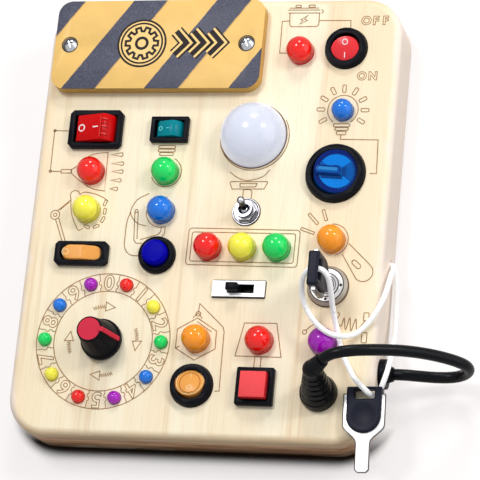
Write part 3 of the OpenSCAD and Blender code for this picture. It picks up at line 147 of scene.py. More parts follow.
def add_camera():
    """A long lens above the board's bottom edge, a little to its right."""
    data = bpy.data.cameras.new("camera")
    data.lens = 186.23
    data.sensor_width = 36
    data.clip_start = 0.05
    data.clip_end = 20
    cam = bpy.data.objects.new("camera", data)
    right = Vector((0.96292, 0.09352, -0.25307))
    up = Vector((-0.01281, 0.95280, 0.30333))
    back = Vector((0.26949, -0.28884, 0.91866))
    turn = Matrix((right, up, back)).transposed()
    cam.matrix_world = Matrix.Translation((0.26123, -0.27457, 0.86142)) @ turn.to_4x4()
    bpy.context.scene.collection.objects.link(cam)
    bpy.context.scene.camera = cam


def add_lamp(name, direction, size, watts):
    """A round soft lamp that looks at the middle of the board."""
    data = bpy.data.lights.new(name, "AREA")
    data.shape = "DISK"
    data.size = size
    data.energy = watts
    lamp = bpy.data.objects.new(name, data)
    place = Vector(direction).normalized() * LAMP_DISTANCE
    lamp.location = place
    lamp.rotation_euler = (-place).to_track_quat("-Z", "Y").to_euler()
    bpy.context.scene.collection.objects.link(lamp)


def seen_rays(tree):
    """1 on rays from the camera, off shiny things and through clear ones, 0 on light itself."""
    path = tree.nodes.new("ShaderNodeLightPath")
    share = path.outputs["Is Camera Ray"]
    for kind in ("Is Glossy Ray", "Is Transmission Ray"):
        share = math_node(tree, "MAXIMUM", share, path.outputs[kind])
    return share


def add_world():
    """White surroundings where they are seen, a soft fill where they light the board."""
    world = bpy.data.worlds.new("studio")
    bpy.context.scene.world = world
    world.use_nodes = True
    tree = world.node_tree
    tree.nodes.clear()
    out = tree.nodes.new("ShaderNodeOutputWorld")
    light = tree.nodes.new("ShaderNodeBackground")
    set_inputs(light, Color=(0.9, 0.95, 1.0, 1), Strength=FILL)
    seen = tree.nodes.new("ShaderNodeBackground")
    set_inputs(seen, Color=(1, 1, 1, 1), Strength=1.0)
    mix = tree.nodes.new("ShaderNodeMixShader")
    tree.links.new(seen_rays(tree), mix.inputs["Fac"])
    tree.links.new(light.outputs[0], mix.inputs[1])
    tree.links.new(seen.outputs[0], mix.inputs[2])
    tree.links.new(mix.outputs[0], out.inputs["Surface"])


def table_material():
    """Pale table: white with the board's shadow where it is seen, greyer where it throws light back, and a painted
    contact shadow in front of the board's lower edge.
    """
    mat = bpy.data.materials.new("table_top")
    mat.use_nodes = True
    tree = mat.node_tree
    bounce = tree.nodes["Principled BSDF"]
    set_inputs(bounce, Base_Color=(0.3, 0.28, 0.27, 1), Roughness=0.8)
    # painted contact shadow: an occlusion mask darkens the table's colour and glow near the board
    near = tree.nodes.new("ShaderNodeAmbientOcclusion")
    near.inputs["Distance"].default_value = 0.006
    open_share = tree.nodes.new("ShaderNodeMath")
    open_share.operation = "MULTIPLY_ADD"
    open_share.use_clamp = True
    open_share.inputs[1].default_value = 3.4
    open_share.inputs[2].default_value = -2.3
    tree.links.new(near.outputs["AO"], open_share.inputs[0])
    place = tree.nodes.new("ShaderNodeTexCoord")
    parts = split_place(tree, place.outputs["Object"])
    # the painted contact shadow is kept to a band in front of the board's lower edge
    beyond = range_node(tree, parts.outputs["Y"], FRONT_EDGE + 0.002, FRONT_EDGE + 0.012, 0.0, 1.0)
    clear = math_node(tree, "MAXIMUM", open_share.outputs[0], beyond)
    seen = tree.nodes.new("ShaderNodeBsdfDiffuse")
    painted_shadow_tint = mix_colours(tree, clear, (0.03, 0.02, 0.014, 1), (0.44, 0.415, 0.41, 1))
    tree.links.new(painted_shadow_tint, seen.inputs["Color"])
    glow = tree.nodes.new("ShaderNodeEmission")
    glow.inputs["Color"].default_value = (1, 0.975, 0.965, 1)
    tree.links.new(math_node(tree, "MULTIPLY", clear, TABLE_GLOW), glow.inputs["Strength"])
    both = tree.nodes.new("ShaderNodeAddShader")
    mix = tree.nodes.new("ShaderNodeMixShader")
    tree.links.new(seen.outputs[0], both.inputs[0])
    tree.links.new(glow.outputs[0], both.inputs[1])
    tree.links.new(seen_rays(tree), mix.inputs["Fac"])
    tree.links.new(bounce.outputs[0], mix.inputs[1])
    tree.links.new(both.outputs[0], mix.inputs[2])
    tree.links.new(mix.outputs[0], tree.nodes["Material Output"].inputs["Surface"])
    return mat


def add_floor():
    bm = bmesh.new()
    bmesh.ops.create_grid(bm, x_segments=8, y_segments=8, size=3)
    mesh = bpy.data.meshes.new("table_top")
    bm.to_mesh(mesh)
    bm.free()
    floor = bpy.data.objects.new("table_top", mesh)
    floor.location = (0, 0, -0.0001)
    bpy.context.scene.collection.objects.link(floor)
    mesh.materials.append(table_material())


bpy.context.scene.view_settings.view_transform = "Standard"
add_camera()
add_world()
add_lamp("lamp_left", (-0.24, 0.32, 0.915), 0.34, 6.4)
add_lamp("lamp_right", (0.66, 0.37, 0.65), 0.27, 4.0)
add_lamp("lamp_back", (0.10, 0.81, 0.58), 0.3, 4.9)
add_lamp("side_panel", (0.95, 0.1, 0.3), 1.2, 5.0)
add_floor()


# ---------------------------------------------------------------- cords

LEAD_D = 4.2
STRING_D = 2.0
LEAD_ROUTE = [[54.8, -60.3, 41.4], [56, -59.6, 42.4], [58, -58.9, 43.4], [60.6, -58.2, 43.8],
    [63.4, -57.6, 43.5], [67, -56.8, 42.3], [71.5, -56, 40.2], [76.5, -55.2, 37.5], [81.6, -54.5, 34.4],
    [86.6, -54.1, 31], [91.2, -54, 27.7], [95.4, -54.1, 24.1], [99.1, -54.4, 20.4], [101.3, -54.8, 16.8],
    [101.7, -55.3, 12.9], [99.9, -55.9, 9.3], [96.6, -56.4, 7.1], [92.6, -56.7, 6.5], [88, -56.9, 7.2],
    [83, -57, 8.7], [78.6, -57, 9.8], [76, -57, 10], [73.9, -57, 10]]
STRING_ROUTE = [[65, -15.2, 5.9], [68.6, -15.2, 5.9], [70.4, -16.8, 5.7], [71, -20, 5.3],
    [71.4, -26, 4.6], [71.8, -33, 4.5], [72.2, -39, 5.5], [72.6, -44.4, 8.1], [73, -50.2, 12],
    [72.7, -56.4, 15.1], [71.9, -61.5, 16.8], [70.9, -65, 17.3], [69.9, -67, 18.7], [69, -67.5, 21.4],
    [68.3, -67.5, 24.4], [67.2, -66.6, 25.9], [65.2, -64.8, 26.1], [62.6, -62, 24.6],
    [60.2, -58.2, 22.6], [57.9, -54.2, 21.5], [56.1, -49.9, 21.3], [55.1, -46, 21.4],
    [54.2, -42.4, 23], [53.8, -38.9, 26.8], [53.9, -35.4, 31.6], [54.1, -32, 36.2],
    [53.7, -29.2, 39.9], [52, -27.5, 41.6], [49.2, -27.1, 41.8], [46.6, -27.8, 41.2],
    [44.5, -29.6, 38.6], [43.4, -32.4, 35], [43.5, -35.6, 32.1], [44.7, -38.8, 30.3],
    [46.7, -41.9, 29.5], [49.4, -44.7, 29.1], [52.4, -46.7, 28], [55.5, -47.3, 25.9],
    [58.7, -46.7, 23.3], [61.5, -45.1, 21.6], [64.2, -42.6, 21.3], [66.7, -39.4, 21.3],
    [68.9, -35.4, 21.2], [70.5, -30.8, 20.4], [71.2, -25.4, 18], [71, -20.6, 13.8],
    [70.8, -17, 9.8], [69.9, -15.4, 8.2], [68.2, -15.2, 8.1], [65, -15.2, 8.1]]
STRING_RISE = 16        # the route's point where the string leaves the loose key
STRING_TO_KEY = 23      # the route's point where the string follows the lock, on the way up
STRING_FROM_KEY = 33    # and on the way down
STRING_END = len(STRING_ROUTE) - 1
ROUTE_STEPS = 6         # points of the curve for each point of a route

# Each stretch of the string, with its first and last point on the route.
STRING_STRETCHES = (
    ("string_from_hole", 0, STRING_RISE),
    ("string_to_key", STRING_RISE, STRING_TO_KEY),
    ("string_through_key", STRING_TO_KEY, STRING_FROM_KEY),
    ("string_from_key", STRING_FROM_KEY, STRING_END))


def smooth_route(points, steps=ROUTE_STEPS):
    """Points in metres along one smooth curve through the given points in millimetres."""
    pts = [Vector(p) for p in points]
    pts = [2 * pts[0] - pts[1]] + pts + [2 * pts[-1] - pts[-2]]
    route = []
    for a, b, c, d in zip(pts, pts[1:], pts[2:], pts[3:]):
        for k in range(steps):
            t = k / steps
            route.append(0.5 * ((2 * b) + (c - a) * t + (2 * a - 5 * b + 4 * c - d) * t ** 2
                + (3 * b - a - 3 * c + d) * t ** 3) * MM)
    route.append(pts[-2] * MM)
    return route


def route_length(route):
    return sum((b - a).length for a, b in zip(route, route[1:]))


def tube_mesh(name, route, radius, sides, before=0.0):
    """Closed tube along a route, with a UV map: turns round it, and metres along it."""
    bm = bmesh.new()
    uv = bm.loops.layers.uv.new("along")
    side = Vector((0, 0.3, 1))
    rings = []
    run = [before]
    for a, b in zip(route, route[1:]):
        run.append(run[-1] + (b - a).length)
    for k, p in enumerate(route):
        ahead = (route[min(k + 1, len(route) - 1)] - route[max(k - 1, 0)]).normalized()
        side = (side - side.dot(ahead) * ahead).normalized()
        other = ahead.cross(side)
        rings.append([bm.verts.new(p + radius * (math.cos(a) * side + math.sin(a) * other))
            for a in (math.tau * j / sides for j in range(sides))])
    for k in range(len(rings) - 1):
        for j in range(sides):
            i = (j + 1) % sides
            face = bm.faces.new((rings[k][j], rings[k][i], rings[k + 1][i], rings[k + 1][j]))
            face.smooth = True
            for loop, at in zip(face.loops, ((j, k), (j + 1, k), (j + 1, k + 1), (j, k + 1))):
                loop[uv].uv = (at[0] / sides, run[at[1]])
    bm.faces.new(list(reversed(rings[0])))
    bm.faces.new(rings[-1])
    mesh = bpy.data.meshes.new(name)
    bm.to_mesh(mesh)
    bm.free()
    return mesh


def add_object(name, mesh):
    piece = bpy.data.objects.new(name, mesh)
    bpy.context.scene.collection.objects.link(piece)
    return piece


lead_route = smooth_route(LEAD_ROUTE)
lead = add_object("black_lead", tube_mesh("black_lead", lead_route, LEAD_D / 2 * MM, 20))
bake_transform(lead)
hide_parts("cable")

string_parts = []
string_route = smooth_route(STRING_ROUTE)
for name, first, last in STRING_STRETCHES:
    part_route = string_route[first * ROUTE_STEPS:last * ROUTE_STEPS + 1]
    before = route_length(string_route[:first * ROUTE_STEPS + 1])
    part = add_object(name, tube_mesh(name, part_route, STRING_D / 2 * MM, 14, before))
    string_parts.append((part, part_route))
    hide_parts("string")
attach(string_parts[0][0], "board")
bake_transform(string_parts[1][0])
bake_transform(string_parts[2][0])
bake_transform(string_parts[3][0])


# ---------------------------------------------------------------- shared surface effects

def new_group(name, inputs, outputs):
    """An empty shader group with its sockets, its input node and its output node."""
    group = bpy.data.node_groups.new(name, "ShaderNodeTree")
    kinds = {"f": "NodeSocketFloat", "v": "NodeSocketVector", "c": "NodeSocketColor"}
    for label, kind, value in inputs:
        socket = group.interface.new_socket(label, in_out="INPUT", socket_type=kinds[kind])
        if value is not None:
            socket.default_value = value
    for label, kind in outputs:
        group.interface.new_socket(label, in_out="OUTPUT", socket_type=kinds[kind])
    return group, group.nodes.new("NodeGroupInput"), group.nodes.new("NodeGroupOutput")


def make_moulded_group():
    """Fine moulded skin: texture height, roughness patches and thin scuffs."""
    group, given, out = new_group("moulded_skin",
        [("Vector", "v", None), ("Grain", "f", 900.0), ("Patch", "f", 90.0),
            ("Rough Low", "f", 0.3), ("Rough High", "f", 0.45)],
        [("Height", "f"), ("Roughness", "f"), ("Scuff", "f"), ("Tone", "f")])
    fine = noise_node(group, given.outputs["Vector"], given.outputs["Grain"], 3.0, 0.6)
    patch = noise_node(group, given.outputs["Vector"], given.outputs["Patch"], 4.0, 0.6)
    long = noise_node(group, given.outputs["Vector"], 220.0, 2.0, 0.5, (1.0, 9.0, 5.0))
    scuff = range_node(group, long, 0.64, 0.72, 0.0, 1.0)
    level = math_node(group, "SUBTRACT", fine, math_node(group, "MULTIPLY", scuff, 0.3))
    rough = range_node(group, patch, 0.3, 0.7, given.outputs["Rough Low"], given.outputs["Rough High"])
    group.links.new(level, out.inputs["Height"])
    group.links.new(math_node(group, "ADD", rough, math_node(group, "MULTIPLY", scuff, 0.12)),
        out.inputs["Roughness"])
    group.links.new(scuff, out.inputs["Scuff"])
    group.links.new(patch, out.inputs["Tone"])
    return group


def make_brushed_group():
    """Plated or turned metal: fine lines one way, and faint stains."""
    group, given, out = new_group("plated_metal",
        [("Vector", "v", None), ("Lines", "f", 2500.0), ("Rough Low", "f", 0.12), ("Rough High", "f", 0.3)],
        [("Height", "f"), ("Roughness", "f"), ("Stain", "f")])
    lines = noise_node(group, given.outputs["Vector"], given.outputs["Lines"], 2.0, 0.5, (1.0, 0.08, 1.0))
    stain = noise_node(group, given.outputs["Vector"], 160.0, 5.0, 0.65)
    group.links.new(lines, out.inputs["Height"])
    group.links.new(range_node(group, stain, 0.35, 0.7, given.outputs["Rough Low"],
        given.outputs["Rough High"]), out.inputs["Roughness"])
    group.links.new(range_node(group, stain, 0.45, 0.75, 0.0, 1.0), out.inputs["Stain"])
    return group


def make_wood_group():
    """Pine staves glued side by side, their fibres along y and their rings round y."""
    group, given, out = new_group("pine_staves",
        [("Vector", "v", None), ("Stave", "f", 0.047), ("Ring", "f", 42.0)],
        [("Rings", "f"), ("Fibre", "f"), ("Tone", "f"), ("Seam", "f"), ("Height", "f")])
    parts = split_place(group, given.outputs["Vector"])
    across = math_node(group, "DIVIDE", math_node(group, "ADD", parts.outputs["X"], 0.51),
        given.outputs["Stave"])
    number = math_node(group, "FLOOR", across)
    shift = math_node(group, "MULTIPLY", math_node(group, "SINE", math_node(group, "MULTIPLY", number, 12.9)),
        0.11)
    bent = group.nodes.new("ShaderNodeCombineXYZ")
    group.links.new(math_node(group, "ADD", parts.outputs["X"], shift), bent.inputs["X"])
    group.links.new(math_node(group, "ADD", parts.outputs["Y"], math_node(group, "MULTIPLY", number, 0.37)),
        bent.inputs["Y"])
    group.links.new(math_node(group, "SUBTRACT", math_node(group, "MULTIPLY", shift, 0.7),
        math_node(group, "ADD", parts.outputs["Z"], 0.06)), bent.inputs["Z"])
    narrow = group.nodes.new("ShaderNodeMapping")
    narrow.inputs["Scale"].default_value = (1.0, 0.05, 1.0)
    group.links.new(bent.outputs[0], narrow.inputs["Vector"])
    wave = group.nodes.new("ShaderNodeTexWave")
    wave.wave_type = "RINGS"
    wave.rings_direction = "Y"
    wave.wave_profile = "SAW"
    set_inputs(wave, Distortion=1.6, Detail=3.0, Detail_Scale=1.2)
    group.links.new(narrow.outputs[0], wave.inputs["Vector"])
    group.links.new(given.outputs["Ring"], wave.inputs["Scale"])
    fibre = noise_node(group, bent.outputs[0], 1500.0, 3.0, 0.6, (1.0, 0.035, 1.0))
    tone = noise_node(group, bent.outputs[0], 16.0, 2.0, 0.5, (1.0, 0.12, 1.0))
    edge = math_node(group, "ABSOLUTE", math_node(group, "SUBTRACT",
        math_node(group, "FRACT", across), 0.5))
    seam = range_node(group, edge, 0.4965, 0.4995, 0.0, 1.0)
    height = math_node(group, "ADD", math_node(group, "MULTIPLY", fibre, 0.6),
        math_node(group, "MULTIPLY", wave.outputs["Fac"], 0.4))
    for label, value in (("Rings", wave.outputs["Fac"]), ("Fibre", fibre), ("Tone", tone), ("Seam", seam),
            ("Height", height)):
        group.links.new(value, out.inputs[label])
    return group


MOULDED = make_moulded_group()
BRUSHED = make_brushed_group()
WOOD = make_wood_group()


# ---------------------------------------------------------------- materials

def rgb(r, g, b):
    """A colour from 0-255 screen values as the four linear numbers that a shader takes."""
    return tuple(c / 255 / 12.92 if c / 255 <= 0.04045 else ((c / 255 + 0.055) / 1.055) ** 2.4
        for c in (r, g, b)) + (1.0,)


def start_material(name):
    mat = bpy.data.materials.new(name)
    mat.use_nodes = True
    tree = mat.node_tree
    where = tree.nodes.new("ShaderNodeTexCoord")
    return mat, tree, tree.nodes["Principled BSDF"], where.outputs["Object"]


def place_group(tree, group, vector, **values):
    node = tree.nodes.new("ShaderNodeGroup")
    node.node_tree = group
    tree.links.new(vector, node.inputs["Vector"])
    set_inputs(node, **values)
    return node


def add_bump(tree, shader, height, depth, strength=1.0):
    bump = tree.nodes.new("ShaderNodeBump")
    set_inputs(bump, Distance=depth, Strength=strength)
    tree.links.new(height, bump.inputs["Height"])
    tree.links.new(bump.outputs[0], shader.inputs["Normal"])


def darker(colour, share):
    return tuple(c * share for c in colour[:3]) + (1.0,)


def moulded_plastic(name, colour, rough=(0.28, 0.42), grain=1400.0, depth=0.00002, coat=0.0, glow=0.0,
        soft=0.0, spec=0.5, below=None):
    """Moulded plastic with its skin texture, uneven gloss and faint scuffs, with an optional painted shade that
    deepens it below one height and an optional painted glow.
    """
    mat, tree, shader, vector = start_material(name)
    skin = place_group(tree, MOULDED, vector, Grain=grain, Rough_Low=rough[0], Rough_High=rough[1])
    pale = tuple(min(1.0, c * 1.12 + 0.012) for c in colour[:3]) + (1.0,)
    toned = mix_colours(tree, range_node(tree, skin.outputs["Tone"], 0.35, 0.7, 0.0, 1.0),
        darker(colour, 0.93), colour)
    # painted shade: below the given height the colour turns to a deeper one
    if below:
        parts = split_place(tree, vector)
        toned = mix_colours(tree, math_node(tree, "LESS_THAN", parts.outputs["Z"], below[0]), toned, below[1])
    tree.links.new(mix_colours(tree, math_node(tree, "MULTIPLY", skin.outputs["Scuff"], 0.5), toned, pale),
        shader.inputs["Base Color"])
    tree.links.new(skin.outputs["Roughness"], shader.inputs["Roughness"])
    add_bump(tree, shader, skin.outputs["Height"], depth)
    set_inputs(shader, Coat_Weight=coat, Coat_Roughness=0.1, Specular_IOR_Level=spec)
    if soft:
        set_inputs(shader, Subsurface_Weight=soft, Subsurface_Radius=(0.004, 0.004, 0.004),
            Subsurface_Scale=1.0)
    # painted glow: the plastic glows in its own colour
    if glow:
        tree.links.new(toned, shader.inputs["Emission Color"])
        shader.inputs["Emission Strength"].default_value = glow
    return mat


def chrome_bands(tree, colour, share, end=0.52):
    """Painted reflection: dark bands painted where polished metal turns away from the eye, for a dim part of the
    room that it would show.
    """
    facing = tree.nodes.new("ShaderNodeLayerWeight").outputs["Facing"]
    rise = range_node(tree, facing, 0.16, 0.3, 0.0, 1.0)
    fall = range_node(tree, facing, end, end + 0.18, 0.0, 1.0)
    band = math_node(tree, "MULTIPLY", math_node(tree, "SUBTRACT", rise, fall), share)
    return mix_colours(tree, band, colour, (0.05, 0.05, 0.06, 1))


def plated_metal(name, colour, rough=(0.12, 0.26), lines=2500.0, depth=0.000004, stain=0.25, bands=0.0,
        reflection_band_end=0.52, step=None, metallic=1.0):
    mat, tree, shader, vector = start_material(name)
    skin = place_group(tree, BRUSHED, vector, Lines=lines, Rough_Low=rough[0], Rough_High=rough[1])
    stained = mix_colours(tree, math_node(tree, "MULTIPLY", skin.outputs["Stain"], stain), colour,
        darker(colour, 0.72))
    # painted reflection: dark bands on the metal where it turns from the eye
    shown = chrome_bands(tree, stained, bands, reflection_band_end)
    # painted shade: below the given height the colour steps to a darker one
    if step:
        parts = split_place(tree, vector)
        shown = mix_colours(tree, math_node(tree, "LESS_THAN", parts.outputs["Z"], step[0]), shown, step[1])
    tree.links.new(shown, shader.inputs["Base Color"])
    tree.links.new(skin.outputs["Roughness"], shader.inputs["Roughness"])
    shader.inputs["Metallic"].default_value = metallic
    add_bump(tree, shader, skin.outputs["Height"], depth)
    return mat


def bushed_case(name, case_colour, metal_colour, bush_low):
    """A moulded case below and a plated threaded bush above one height."""
    mat, tree, shader, vector = start_material(name)
    skin = place_group(tree, MOULDED, vector, Rough_Low=0.34, Rough_High=0.5)
    plate = place_group(tree, BRUSHED, vector)
    parts = split_place(tree, vector)
    is_bush = math_node(tree, "GREATER_THAN", parts.outputs["Z"], bush_low)
    # painted shade: dark thread grooves drawn in the bush's colour
    thread = math_node(tree, "SINE", math_node(tree, "MULTIPLY", parts.outputs["Z"], math.tau / 0.0006))
    groove_shade = math_node(tree, "MULTIPLY", range_node(tree, thread, -0.6, 0.6, 0.5, 0.0), is_bush)
    metal = mix_colours(tree, groove_shade, chrome_bands(tree, metal_colour, 0.7), darker(metal_colour, 0.2))
    tree.links.new(mix_colours(tree, is_bush, case_colour, metal), shader.inputs["Base Color"])
    tree.links.new(is_bush, shader.inputs["Metallic"])
    rough = tree.nodes.new("ShaderNodeMix")
    for socket, value in ((rough.inputs[0], is_bush), (rough.inputs[2], skin.outputs["Roughness"]),
            (rough.inputs[3], plate.outputs["Roughness"])):
        tree.links.new(value, socket)
    tree.links.new(rough.outputs[0], shader.inputs["Roughness"])
    add_bump(tree, shader, skin.outputs["Height"], 0.00001)
    return mat


def clear_light(name, colour, deep_share=0.62):
    """Tinted clear plastic with painted light: painted shade on its upper side and round its rim, paler on its
    lower side where light would come through, and a faint painted glow.
    """
    mat, tree, shader, vector = start_material(name)
    skin = place_group(tree, MOULDED, vector, Grain=500.0, Rough_Low=0.16, Rough_High=0.26)
    low = tree.nodes.new("ShaderNodeAttribute")
    low.attribute_name = LOW_SIDE
    facing = tree.nodes.new("ShaderNodeLayerWeight").outputs["Facing"]
    # painted shade: the lights turn a deep colour on their upper side and round their rim
    deep = darker(colour, deep_share)
    pale = tuple(min(1.0, c * 1.1 + 0.004) for c in colour[:3]) + (1.0,)
    shaded = mix_colours(tree, range_node(tree, low.outputs["Fac"], 0.1, 0.6, 0.0, 1.0), deep, colour)
    # painted light: paler on the lower side, where light would come through
    lit = mix_colours(tree, range_node(tree, low.outputs["Fac"], 0.6, 0.9, 0.0, 0.4), shaded, pale)
    far = range_node(tree, low.outputs["Fac"], 0.3, 0.62, 0.15, 1.0)
    rim = math_node(tree, "MULTIPLY", range_node(tree, facing, 0.44, 0.54, 0.0, 0.75), far)
    rim_shaded = mix_colours(tree, rim, lit, darker(colour, deep_share * 0.55))
    tree.links.new(rim_shaded, shader.inputs["Base Color"])
    # painted glow: the lights also glow faintly in their own shaded colour
    tree.links.new(rim_shaded, shader.inputs["Emission Color"])
    shader.inputs["Emission Strength"].default_value = 0.12
    tree.links.new(skin.outputs["Roughness"], shader.inputs["Roughness"])
    set_inputs(shader, Subsurface_Weight=0.15, Subsurface_Radius=(0.003, 0.003, 0.003),
        Subsurface_Scale=1.0, Specular_IOR_Level=0.0, Coat_Weight=0.85, Coat_Roughness=0.11)
    add_bump(tree, shader, skin.outputs["Height"], 0.000003)
    return mat


def pine_wood(name, light, ring, dark, ring_share=0.35):
    """Clear pine: pale staves with honey-coloured rings and fine fibres."""
    mat, tree, shader, vector = start_material(name)
    wood = place_group(tree, WOOD, vector)
    tree.links.new(pine_colour(tree, vector, wood, light, ring, dark, ring_share),
        shader.inputs["Base Color"])
    tree.links.new(range_node(tree, wood.outputs["Fibre"], 0.3, 0.7, 0.42, 0.58), shader.inputs["Roughness"])
    add_bump(tree, shader, wood.outputs["Height"], 0.00004, 0.7)
    return mat


def pine_colour(tree, vector, wood, light, ring, dark, ring_share):
    """Colour along the fibres: broad warm bands, faint rings, thin streaks and darker fibres."""
    broad = noise_node(tree, vector, 38.0, 3.0, 0.6, (1.0, 0.05, 1.0))
    thin = noise_node(tree, vector, 210.0, 3.0, 0.6, (1.0, 0.03, 1.0))
    banded = mix_colours(tree, range_node(tree, broad, 0.42, 0.68, 0.0, 0.75), light, ring)
    ringed = mix_colours(tree, math_node(tree, "MULTIPLY", wood.outputs["Rings"], ring_share), banded, ring)
    streaked = mix_colours(tree, range_node(tree, thin, 0.58, 0.74, 0.0, 0.45), ringed, dark)
    fibred = mix_colours(tree, range_node(tree, wood.outputs["Fibre"], 0.52, 0.75, 0.0, 0.22), streaked, dark)
    return mix_colours(tree, math_node(tree, "MULTIPLY", wood.outputs["Seam"], 0.25), fibred, dark)


def board_wood(name, light, ring, dark, side, tan, brown, half_w, half_h, corner, top):
    """Pine board: clear face, greyer long sides and end grain with painted light near the face and painted shade
    that darkens it towards the back.
    """
    mat, tree, shader, vector = start_material(name)
    wood = place_group(tree, WOOD, vector)
    face = pine_colour(tree, vector, wood, light, ring, dark, 0.16)
    parts = split_place(tree, vector)
    over = [math_node(tree, "MAXIMUM", math_node(tree, "SUBTRACT", math_node(tree, "ABSOLUTE",
        parts.outputs[axis]), half - corner), 0.0) for axis, half in (("X", half_w), ("Y", half_h))]
    reach = math_node(tree, "SQRT", math_node(tree, "ADD", math_node(tree, "MULTIPLY", over[0], over[0]),
        math_node(tree, "MULTIPLY", over[1], over[1])))
    ends = range_node(tree, math_node(tree, "DIVIDE", over[1], math_node(tree, "MAXIMUM", reach, 1e-5)),
        0.55, 0.9, 0.0, 1.0)
    ripple = noise_node(tree, vector, 90.0, 3.0, 0.55, (0.35, 1.0, 1.0))
    uneven = math_node(tree, "MULTIPLY", math_node(tree, "SUBTRACT", ripple, 0.5), 0.006)
    turned = range_node(tree, math_node(tree, "ADD", reach, uneven), corner - 0.0028, corner - 0.0004,
        0.0, 1.0)
    layers = noise_node(tree, vector, 520.0, 4.0, 0.6, (0.07, 1.0, 1.0))
    grain = noise_node(tree, vector, 150.0, 3.0, 0.6, (0.16, 1.0, 1.0))
    end_tone = mix_colours(tree, range_node(tree, grain, 0.38, 0.62, 0.0, 0.8), tan, brown)
    end_lined = mix_colours(tree, range_node(tree, layers, 0.47, 0.66, 0.0, 0.7), end_tone,
        darker(brown, 0.6))
    # painted light: the end grain pales towards the face
    end_painted_light = mix_colours(tree, range_node(tree, parts.outputs["Z"], top - 0.008, top - 0.001, 0.0, 0.8),
        end_lined, ring)
    # painted shade: the end grain turns nearly black towards the back, where the board meets the table
    end_painted_shade = mix_colours(tree, range_node(tree, parts.outputs["Z"], 0.001, 0.0112, 1.0, 0.0), end_painted_light,
        darker(brown, 0.04))
    side_lined = mix_colours(tree, range_node(tree, layers, 0.5, 0.75, 0.0, 0.35), side, ring)
    sides = mix_colours(tree, ends, side_lined, end_painted_shade)
    tree.links.new(mix_colours(tree, turned, face, sides), shader.inputs["Base Color"])
    tree.links.new(range_node(tree, wood.outputs["Fibre"], 0.3, 0.7, 0.42, 0.58), shader.inputs["Roughness"])
    shader.inputs["Specular IOR Level"].default_value = 0.1
    add_bump(tree, shader, wood.outputs["Height"], 0.00003, 0.6)
    return mat


def burnt_line(name, colour):
    """Lines scorched into the wood, darker and lighter along their way; the same look also serves for painted
    shade.
    """
    mat, tree, shader, vector = start_material(name)
    patch = noise_node(tree, vector, 500.0, 4.0, 0.6)
    tree.links.new(mix_colours(tree, range_node(tree, patch, 0.35, 0.65, 0.0, 1.0), darker(colour, 0.7),
        tuple(min(1.0, c * 1.3) for c in colour[:3]) + (1.0,)), shader.inputs["Base Color"])
    tree.links.new(range_node(tree, patch, 0.3, 0.7, 0.75, 0.95), shader.inputs["Roughness"])
    add_bump(tree, shader, patch, 0.00003)
    return mat


def striped_paint(name, yellow, navy, edge_colour, top, low_y, start_x, pitch, band, lean):
    """Warning paint in slanting bands over wood, its dark bands speckled and worn."""
    mat, tree, shader, vector = start_material(name)
    parts = split_place(tree, vector)
    slant = math_node(tree, "SUBTRACT", parts.outputs["X"], math_node(tree, "MULTIPLY",
        math_node(tree, "SUBTRACT", parts.outputs["Y"], low_y), lean))
    wobble = math_node(tree, "MULTIPLY", math_node(tree, "SUBTRACT",
        noise_node(tree, vector, 420.0, 3.0, 0.6), 0.5), 0.0007)
    turns = math_node(tree, "DIVIDE", math_node(tree, "SUBTRACT", math_node(tree, "ADD", slant, wobble),
        start_x - 6 * pitch), pitch)
    along = math_node(tree, "MULTIPLY", math_node(tree, "FRACT", turns), pitch)
    is_dark = math_node(tree, "LESS_THAN", along, band)
    speck = noise_node(tree, vector, 1300.0, 4.0, 0.7)
    patch = noise_node(tree, vector, 130.0, 4.0, 0.6)
    dark = mix_colours(tree, range_node(tree, speck, 0.45, 0.68, 0.0, 0.5), navy, rgb(104, 104, 122))
    sunny = mix_colours(tree, range_node(tree, patch, 0.35, 0.7, 0.0, 0.5), yellow, darker(yellow, 0.82))
    hair = math_node(tree, "LESS_THAN", math_node(tree, "ABSOLUTE",
        math_node(tree, "SUBTRACT", along, band + 0.0003)), 0.00024)
    lined = mix_colours(tree, math_node(tree, "MULTIPLY", hair, 0.6), sunny, rgb(176, 132, 66))
    striped = mix_colours(tree, is_dark, lined, dark)
    on_top = range_node(tree, parts.outputs["Z"], top - 0.0004, top - 0.0002, 0.0, 1.0)
    tree.links.new(mix_colours(tree, on_top, edge_colour, striped), shader.inputs["Base Color"])
    tree.links.new(range_node(tree, speck, 0.3, 0.7, 0.4, 0.62), shader.inputs["Roughness"])
    add_bump(tree, shader, speck, 0.00003)
    return mat


STRANDS = 6             # strands that run each way round the string
STRAND_PITCH = 0.0034


def braided_cotton(name, colour):
    """Round braid: strands that cross each other, drawn on the cord's own map."""
    mat, tree, shader, _ = start_material(name)
    uv = tree.nodes.new("ShaderNodeUVMap")
    uv.uv_map = "along"
    parts = split_place(tree, uv.outputs[0])
    around = math_node(tree, "MULTIPLY", parts.outputs["X"], STRANDS * math.tau)
    length = math_node(tree, "MULTIPLY", parts.outputs["Y"], math.tau / STRAND_PITCH)
    one = math_node(tree, "SINE", math_node(tree, "ADD", around, length))
    two = math_node(tree, "SINE", math_node(tree, "SUBTRACT", around, length))
    braid = math_node(tree, "MAXIMUM", one, two)
    mesh_tone = range_node(tree, braid, -0.2, 0.9, 0.0, 1.0)
    fuzz = noise_node(tree, uv.outputs[0], 900.0, 3.0, 0.6, (0.02, 1.0, 1.0))
    plain = mix_colours(tree, mesh_tone, darker(colour, 0.9), colour)
    tree.links.new(mix_colours(tree, range_node(tree, fuzz, 0.5, 0.8, 0.0, 0.2), plain, darker(colour, 0.8)),
        shader.inputs["Base Color"])
    # painted glow: the string glows in its own colour to keep it white
    tree.links.new(plain, shader.inputs["Emission Color"])
    set_inputs(shader, Emission_Strength=0.2, Roughness=0.8, Sheen_Weight=0.2)
    add_bump(tree, shader, braid, 0.00004)
    return mat


